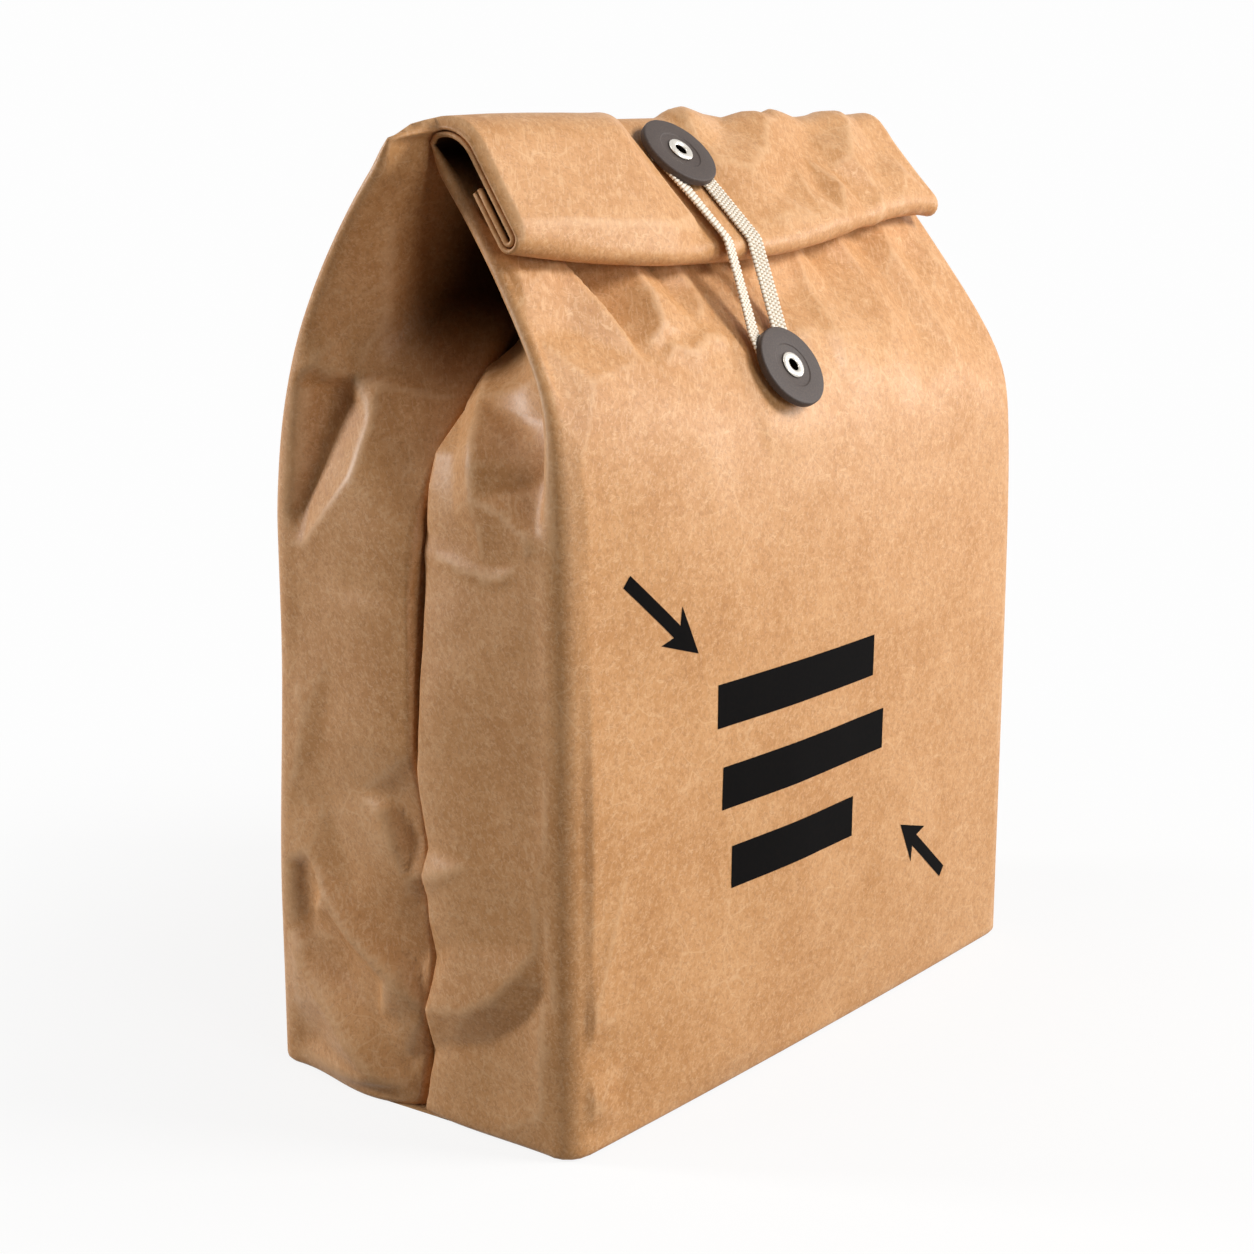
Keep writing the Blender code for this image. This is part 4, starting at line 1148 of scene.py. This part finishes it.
def tape_weave():
    """Node group that lays yarn ribs side by side along a path and knots stitches into them."""
    group = bpy.data.node_groups.new("tape_weave", "GeometryNodeTree")
    sockets = group.interface.new_socket
    sockets("Geometry", in_out="INPUT", socket_type="NodeSocketGeometry")
    for name, kind in (("Tape Width", "NodeSocketFloat"), ("Tape Thickness", "NodeSocketFloat"),
                       ("Ribs", "NodeSocketInt"), ("Stitch Length", "NodeSocketFloat"),
                       ("Material", "NodeSocketMaterial")):
        sockets(name, in_out="INPUT", socket_type=kind)
    sockets("Geometry", in_out="OUTPUT", socket_type="NodeSocketGeometry")
    given = add_node(group, "NodeGroupInput").outputs

    # Path: evenly stepped, facing the way its points say
    line = add_node(group, "GeometryNodeMeshToCurve", {"Mesh": given["Geometry"]}).outputs[0]
    line = add_node(group, "GeometryNodeResampleCurve", {"Curve": line, "Length": TAPE_STEP},
                    mode="LENGTH").outputs[0]
    line = add_node(group, "GeometryNodeSetCurveNormal", {
        "Curve": line, "Normal": named(group, "facing", "FLOAT_VECTOR")}, mode="FREE").outputs[0]
    length = add_node(group, "GeometryNodeSplineParameter").outputs["Length"]
    line = stored(group, line, "tape_length", length)

    # Section: one flattened ring for each yarn, side by side across the tape
    pitch = maths(group, "DIVIDE", given["Tape Width"], given["Ribs"])
    first = maths(group, "MULTIPLY", maths(group, "SUBTRACT", given["Tape Width"], pitch), -0.5)
    begin = add_node(group, "ShaderNodeCombineXYZ", {"Y": first}).outputs[0]
    step = add_node(group, "ShaderNodeCombineXYZ", {"Y": pitch}).outputs[0]
    row = add_node(group, "GeometryNodeMeshLine", {
        "Count": given["Ribs"], "Start Location": begin, "Offset": step}, mode="OFFSET").outputs[0]
    ring = add_node(group, "GeometryNodeCurvePrimitiveCircle", {
        "Resolution": 12, "Radius": 0.5}, mode="RADIUS").outputs[0]
    wide = maths(group, "MULTIPLY", pitch, YARN_OVERLAP)
    size = add_node(group, "ShaderNodeCombineXYZ", {"X": given["Tape Thickness"], "Y": wide}).outputs[0]
    yarns = add_node(group, "GeometryNodeInstanceOnPoints", {
        "Points": row, "Instance": ring, "Scale": size}).outputs[0]
    number = add_node(group, "GeometryNodeInputIndex").outputs[0]
    yarns = stored(group, yarns, "yarn_number", number, "INSTANCE")
    section = add_node(group, "GeometryNodeRealizeInstances", {"Geometry": yarns}).outputs[0]
    tape = add_node(group, "GeometryNodeCurveToMesh", {
        "Curve": line, "Profile Curve": section, "Fill Caps": False}).outputs[0]

    # Stitches: every yarn swells and sinks along its length, half a stitch out of step with the next
    turns = maths(group, "ADD", maths(group, "DIVIDE", named(group, "tape_length"), given["Stitch Length"]),
                  maths(group, "MULTIPLY", named(group, "yarn_number"), 0.5))
    wave = maths(group, "SINE", maths(group, "MULTIPLY", turns, 2 * math.pi))
    shift = maths(group, "MULTIPLY", wave, STITCH_DEPTH)
    normal = add_node(group, "GeometryNodeInputNormal").outputs[0]
    push = add_node(group, "ShaderNodeVectorMath", {0: normal, "Scale": shift}, operation="SCALE").outputs[0]
    tape = add_node(group, "GeometryNodeSetPosition", {"Geometry": tape, "Offset": push}).outputs[0]
    height = maths(group, "ADD", maths(group, "MULTIPLY", wave, 0.5), 0.5)
    tape = stored(group, tape, "yarn_height", height)
    tape = add_node(group, "GeometryNodeSetShadeSmooth", {"Geometry": tape}).outputs[0]
    tape = add_node(group, "GeometryNodeRealizeInstances", {"Geometry": tape}).outputs[0]
    tape = add_node(group, "GeometryNodeSetMaterial", {
        "Geometry": tape, "Material": given["Material"]}).outputs[0]
    end = group.nodes.new("NodeGroupOutput")
    group.links.new(tape, end.inputs["Geometry"])
    return group


def arrow_outline(tail, tip):
    """Outline of a plain arrow on the front wall, from (x, z) of its tail to its tip, in millimetres."""
    tail, tip = np.array(tail), np.array(tip)
    length = np.hypot(*(tip - tail))
    ahead = (tip - tail) / length
    side = np.array([-ahead[1], ahead[0]])
    shaft, barb, head = MARK_SHAFT / 2, MARK_BARB / 2, MARK_HEAD
    barb_start = length - head * MARK_SWEEP
    corners = ((0, shaft), (length - head, shaft), (barb_start, barb), (length, 0),
               (barb_start, -barb), (length - head, -shaft), (0, -shaft))
    return [tail + ahead * a + side * b for a, b in corners]


def marks_mesh(bag, lift):
    """Printed bars and arrows, cut into small faces and laid on the crumpled front wall."""
    outlines = [[(a, z), (b, z), (b, z + height), (a, z + height)] for a, b, z, height in MARK_BARS]
    outlines += [arrow_outline(*ends) for ends in MARK_ARROWS]
    body = bmesh.new()
    for outline in outlines:
        flat = bmesh.new()
        flat.faces.new([flat.verts.new((x * MM, 0, z * MM)) for x, z in outline])
        bounds = np.array(outline)
        for axis, plane in ((0, Vector((1, 0, 0))), (1, Vector((0, 0, 1)))):
            for level in np.arange(bounds[:, axis].min() + MARK_STEP, bounds[:, axis].max(), MARK_STEP):
                bmesh.ops.bisect_plane(flat, geom=flat.faces[:] + flat.edges[:] + flat.verts[:],
                                       plane_co=plane * level * MM, plane_no=plane)
        bmesh.ops.triangulate(flat, faces=flat.faces)
        piece = bpy.data.meshes.new("mark")
        flat.to_mesh(piece)
        flat.free()
        body.from_mesh(piece)
        bpy.data.meshes.remove(piece)
    paper = bmesh.new()
    paper.from_mesh(bag.data)
    tree = BVHTree.FromBMesh(paper)
    for vert in body.verts:
        start = Vector((vert.co.x, -BODY_DEPTH, vert.co.z))
        found, normal, _, _ = tree.ray_cast(start, Vector((0, 1, 0)))
        if found is None:
            raise RuntimeError("A printed mark misses the paper")
        vert.co = found + normal * lift
    paper.free()
    for face in body.faces:
        if face.normal.y > 0:
            face.normal_flip()
    mesh = bpy.data.meshes.new("printed_marks")
    body.normal_update()
    body.to_mesh(mesh)
    body.free()
    mesh.shade_smooth()
    return mesh


def colour_setting(name, description, value):
    """A colour that a user would change, from its sRGB hex value."""
    return bpy.props.FloatVectorProperty(name=name, description=description, default=linear(value),
                                         size=3, min=0.0, max=1.0, subtype="COLOR")


class LunchBagSettings(bpy.types.PropertyGroup):
    """Sizes and colours that a user would change."""

    relief: bpy.props.FloatProperty(
        name="Relief", description="Strength of the paper's folds and dents", default=1.0,
        min=0.0, max=2.0, subtype="FACTOR")
    print_lift: bpy.props.FloatProperty(
        name="Print Lift", description="How far the ink stands off the paper", default=0.00012,
        min=0.00002, max=0.001, subtype="DISTANCE", unit="LENGTH")
    tape_ribs: bpy.props.IntProperty(
        name="Tape Ribs", description="Lengthwise ribs in the tape", default=5, min=1, max=12)
    stitch_length: bpy.props.FloatProperty(
        name="Stitch Length", description="Length of one stitch of the tape's weave",
        default=0.0013, min=0.0003, max=0.01, subtype="DISTANCE", unit="LENGTH")
    paper: colour_setting("Paper", "Colour of the paper", "#ca9561")
    paper_dark: colour_setting("Paper Clouds", "Darker clouds in the paper", "#b9834f")
    paper_light: colour_setting("Paper Flecks", "Pale flecks in the paper", "#d6a474")
    paper_fibre: colour_setting("Paper Fibres", "Dark fibres in the paper", "#8f5d35")
    paper_worn: colour_setting("Worn Folds", "Rubbed paper along the sharp folds", "#dcb287")
    # Painted shade: the paper's colour deep in its side folds and inside the roll
    paper_painted_shade: colour_setting("Paper Hollows", "Paper in the folds, where little light gets", "#1e0d05")
    ink: colour_setting("Ink", "Printed marks", "#070606")
    ink_thin: colour_setting("Thin Ink", "Ink where the paper's grain tells through", "#17110d")
    button: colour_setting("Button", "Fibre board of the buttons", "#50453f")
    # Also the painted shade in the eyelets' bores
    button_speckle_and_bore_shade: colour_setting("Button Speckle", "Darker speckle of the buttons", "#3d332f")
    washer: colour_setting("Washer", "Board washers behind the buttons", "#7a5c43")
    eyelet: colour_setting("Eyelet", "Plating of the eyelets", "#e9e4dc")
    eyelet_dark: colour_setting("Eyelet Marks", "Tool marks on the eyelets", "#c9c2b6")
    tape: colour_setting("Tape", "Undyed cotton yarn", "#f3eadb")
    # Also the painted shade where the yarns sink, and the darker fuzz of the yarn
    tape_shade_and_fuzz: colour_setting("Tape Shade", "Yarn between the tape's ribs", "#a88f70")


class LUNCHBAG_OT_paper(bpy.types.Operator):
    """Builds the crumpled paper bag over its solid"""

    bl_idname = "lunch_bag.paper"
    bl_label = "Paper Bag"

    def execute(self, context):
        settings = context.scene.lunch_bag
        grid, climbs = paper_rows()
        wander_folds(grid)
        relief = paper_relief(grid, climbs)
        skin = PAPER_THICKNESS / 2 + relief * settings.relief
        shaped = grid + surface_normals(grid) * skin[..., None]
        mesh = grid_mesh("kraft_bag", shaped)
        store_attribute(mesh, "fold_wear", crest_wear(relief))
        # Painted shade: how far the paper's colour turns dark deep in its folds and inside the roll
        store_attribute(mesh, "fold_shade", fold_shade(climbs))
        mesh.shade_smooth()
        piece = add_piece("kraft_bag", mesh, finish_of("calendered_kraft_paper", kraft_paper))
        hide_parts("paper_bag")
        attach(piece, "root")
        return {"FINISHED"}


class LUNCHBAG_OT_buttons(bpy.types.Operator):
    """Builds both buttons with their eyelets, and finishes the washers behind them"""

    bl_idname = "lunch_bag.buttons"
    bl_label = "Buttons"

    def execute(self, context):
        board = finish_of("pressed_fibre_board", button_board)
        plating = finish_of("nickel_plated_brass", plated_eyelet)
        washer = finish_of("punched_brown_board", washer_board)
        for place, seat in (("upper", upper_seat()), ("lower", lower_seat())):
            matrix = seat_frame(*seat)
            for part, profile, material in (("button", button_profile(), board),
                                            ("eyelet", eyelet_profile(), plating)):
                name = f"{place}_{part}"
                piece = add_piece(f"{name}_turned", turned_mesh(name, profile, matrix), material)
                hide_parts(name)
                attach(piece, "root")
            for part in ("spacer", "backing"):
                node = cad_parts[f"{place}_{part}"]
                node.data.materials.clear()
                node.data.materials.append(washer)
        return {"FINISHED"}


class LUNCHBAG_OT_tape(bpy.types.Operator):
    """Weaves the ribbed tape along its path round both buttons"""

    bl_idname = "lunch_bag.tape"
    bl_label = "Tape"

    def execute(self, context):
        settings = context.scene.lunch_bag
        path = tape_path_mesh()
        guide = add_piece("tape_path", path)
        weave = guide.modifiers.new("weave", "NODES")
        weave.node_group = tape_weave()
        values = {"Tape Width": TAPE_WIDTH, "Tape Thickness": TAPE_THICKNESS, "Ribs": settings.tape_ribs,
                  "Stitch Length": settings.stitch_length,
                  "Material": finish_of("woven_cotton_tape", cotton_tape)}
        for item in weave.node_group.interface.items_tree:
            if item.in_out == "INPUT" and item.name in values:
                weave[item.identifier] = values[item.name]
        depsgraph = context.evaluated_depsgraph_get()
        mesh = bpy.data.meshes.new_from_object(guide.evaluated_get(depsgraph), depsgraph=depsgraph)
        bpy.data.objects.remove(guide)
        bpy.data.meshes.remove(path)
        if not mesh.polygons:
            self.report({"ERROR"}, "The weave made no faces")
            return {"CANCELLED"}
        mesh.name = "woven_tape"
        piece = add_piece("woven_tape", mesh)
        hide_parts("closure_tape")
        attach(piece, "root")
        return {"FINISHED"}


class LUNCHBAG_OT_marks(bpy.types.Operator):
    """Lays the printed marks on the front of the paper"""

    bl_idname = "lunch_bag.marks"
    bl_label = "Printed Marks"

    def execute(self, context):
        bag = bpy.data.objects.get("kraft_bag")
        if bag is None:
            self.report({"ERROR"}, "The paper bag has to be built before the marks")
            return {"CANCELLED"}
        piece = add_piece("printed_marks", marks_mesh(bag, context.scene.lunch_bag.print_lift),
                          finish_of("printed_black_ink", printing_ink))
        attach(piece, "root")
        return {"FINISHED"}


class LUNCHBAG_OT_stage(bpy.types.Operator):
    """Adds the floor, the lamps, the surroundings and the camera"""

    bl_idname = "lunch_bag.stage"
    bl_label = "Stage"

    def execute(self, context):
        scene = context.scene
        scene.view_settings.view_transform = "Standard"
        add_floor()
        add_surroundings(scene)
        add_lamps()
        add_camera(scene)
        return {"FINISHED"}


def seen_share(tree, rays):
    """1 for the rays of a light path that come from the eye, straight or off something shiny."""
    seen = maths(tree, "MAXIMUM", rays["Is Camera Ray"], rays["Is Glossy Ray"])
    return maths(tree, "MAXIMUM", seen, rays["Is Transmission Ray"])


def add_floor():
    """White floor with a soft shadow: seen as lit paper, and dim where it lights the bag from below."""
    mesh = bpy.data.meshes.new("floor")
    mesh.from_pydata([(x * FLOOR_HALF, y * FLOOR_HALF, 0) for x, y in ((-1, -1), (1, -1), (1, 1), (-1, 1))],
                     [], [(0, 1, 2, 3)])
    made, tree, shader, place = new_material("matt_white_sweep")
    rays = add_node(tree, "ShaderNodeLightPath").outputs
    fill_inputs(tree, shader, {
        "Base Color": blended(tree, rays["Is Diffuse Ray"], linear("#f4f2ef"), linear("#6d6964")),
        "Roughness": 0.9})
    distance = add_node(tree, "ShaderNodeVectorMath", {0: place}, operation="LENGTH").outputs["Value"]
    white = maths(tree, "MULTIPLY", seen_share(tree, rays),
                  remapped(tree, distance, *FLOOR_RING, *FLOOR_GLOW))
    glow = add_node(tree, "ShaderNodeEmission", {"Color": (1, 1, 1, 1), "Strength": SEEN_WHITE})
    both = add_node(tree, "ShaderNodeMixShader", {0: white, 1: shader.outputs[0], 2: glow.outputs[0]})
    tree.links.new(both.outputs[0], tree.nodes["Material Output"].inputs["Surface"])
    add_piece("floor", mesh, made)


def add_surroundings(scene):
    world = bpy.data.worlds.new("studio")
    scene.world = world
    world.use_nodes = True
    tree = world.node_tree
    seen = seen_share(tree, add_node(tree, "ShaderNodeLightPath").outputs)
    fill_inputs(tree, tree.nodes["Background"], {
        "Color": (1.0, 1.0, 1.0, 1.0),
        "Strength": remapped(tree, seen, 0.0, 1.0, WORLD_LIGHT, SEEN_WHITE)})


def add_lamps():
    for name, place, aim, power, size in LAMPS:
        light = bpy.data.lights.new(name, "AREA")
        light.energy = power
        light.size = size
        lamp = bpy.data.objects.new(name, light)
        bpy.context.scene.collection.objects.link(lamp)
        lamp.location = place
        lamp.rotation_euler = (Vector((0, 0, aim)) - Vector(place)).to_track_quat("-Z", "Y").to_euler()


def add_camera(scene):
    yaw, tilt = math.radians(CAMERA_YAW), math.radians(CAMERA_TILT)
    ahead = Vector((math.sin(yaw) * math.cos(tilt), math.cos(yaw) * math.cos(tilt), -math.sin(tilt)))
    right = Vector((math.cos(yaw), -math.sin(yaw), 0.0))
    turn = Matrix((right, right.cross(ahead), -ahead)).transposed().to_4x4()
    lens = bpy.data.cameras.new("camera")
    lens.sensor_width = SENSOR_WIDTH
    lens.lens = CAMERA_LENS
    camera = bpy.data.objects.new("camera", lens)
    scene.collection.objects.link(camera)
    camera.matrix_world = Matrix.Translation(CAMERA_PLACE) @ turn
    scene.camera = camera


OPERATORS = (LUNCHBAG_OT_paper, LUNCHBAG_OT_buttons, LUNCHBAG_OT_tape, LUNCHBAG_OT_marks,
             LUNCHBAG_OT_stage)


class LUNCHBAG_PT_panel(bpy.types.Panel):
    """Lists the bag's pieces and settings in the sidebar"""

    bl_idname = "LUNCHBAG_PT_panel"
    bl_label = "Kraft Lunch Bag"
    bl_space_type = "VIEW_3D"
    bl_region_type = "UI"
    bl_category = "Lunch Bag"

    def draw(self, context):
        settings = context.scene.lunch_bag
        for name in settings.bl_rna.properties.keys():
            if name not in ("rna_type", "name"):
                self.layout.prop(settings, name)
        for operator in OPERATORS:
            self.layout.operator(operator.bl_idname)


CLASSES = (LunchBagSettings, *OPERATORS, LUNCHBAG_PT_panel)


def register():
    for kind in CLASSES:
        bpy.utils.register_class(kind)
    bpy.types.Scene.lunch_bag = bpy.props.PointerProperty(type=LunchBagSettings)


def unregister():
    del bpy.types.Scene.lunch_bag
    for kind in reversed(CLASSES):
        bpy.utils.unregister_class(kind)


def main():
    register()
    bpy.ops.lunch_bag.paper()
    bpy.ops.lunch_bag.buttons()
    bpy.ops.lunch_bag.tape()
    bpy.ops.lunch_bag.marks()
    bpy.ops.lunch_bag.stage()


if __name__ == "__main__":
    main()
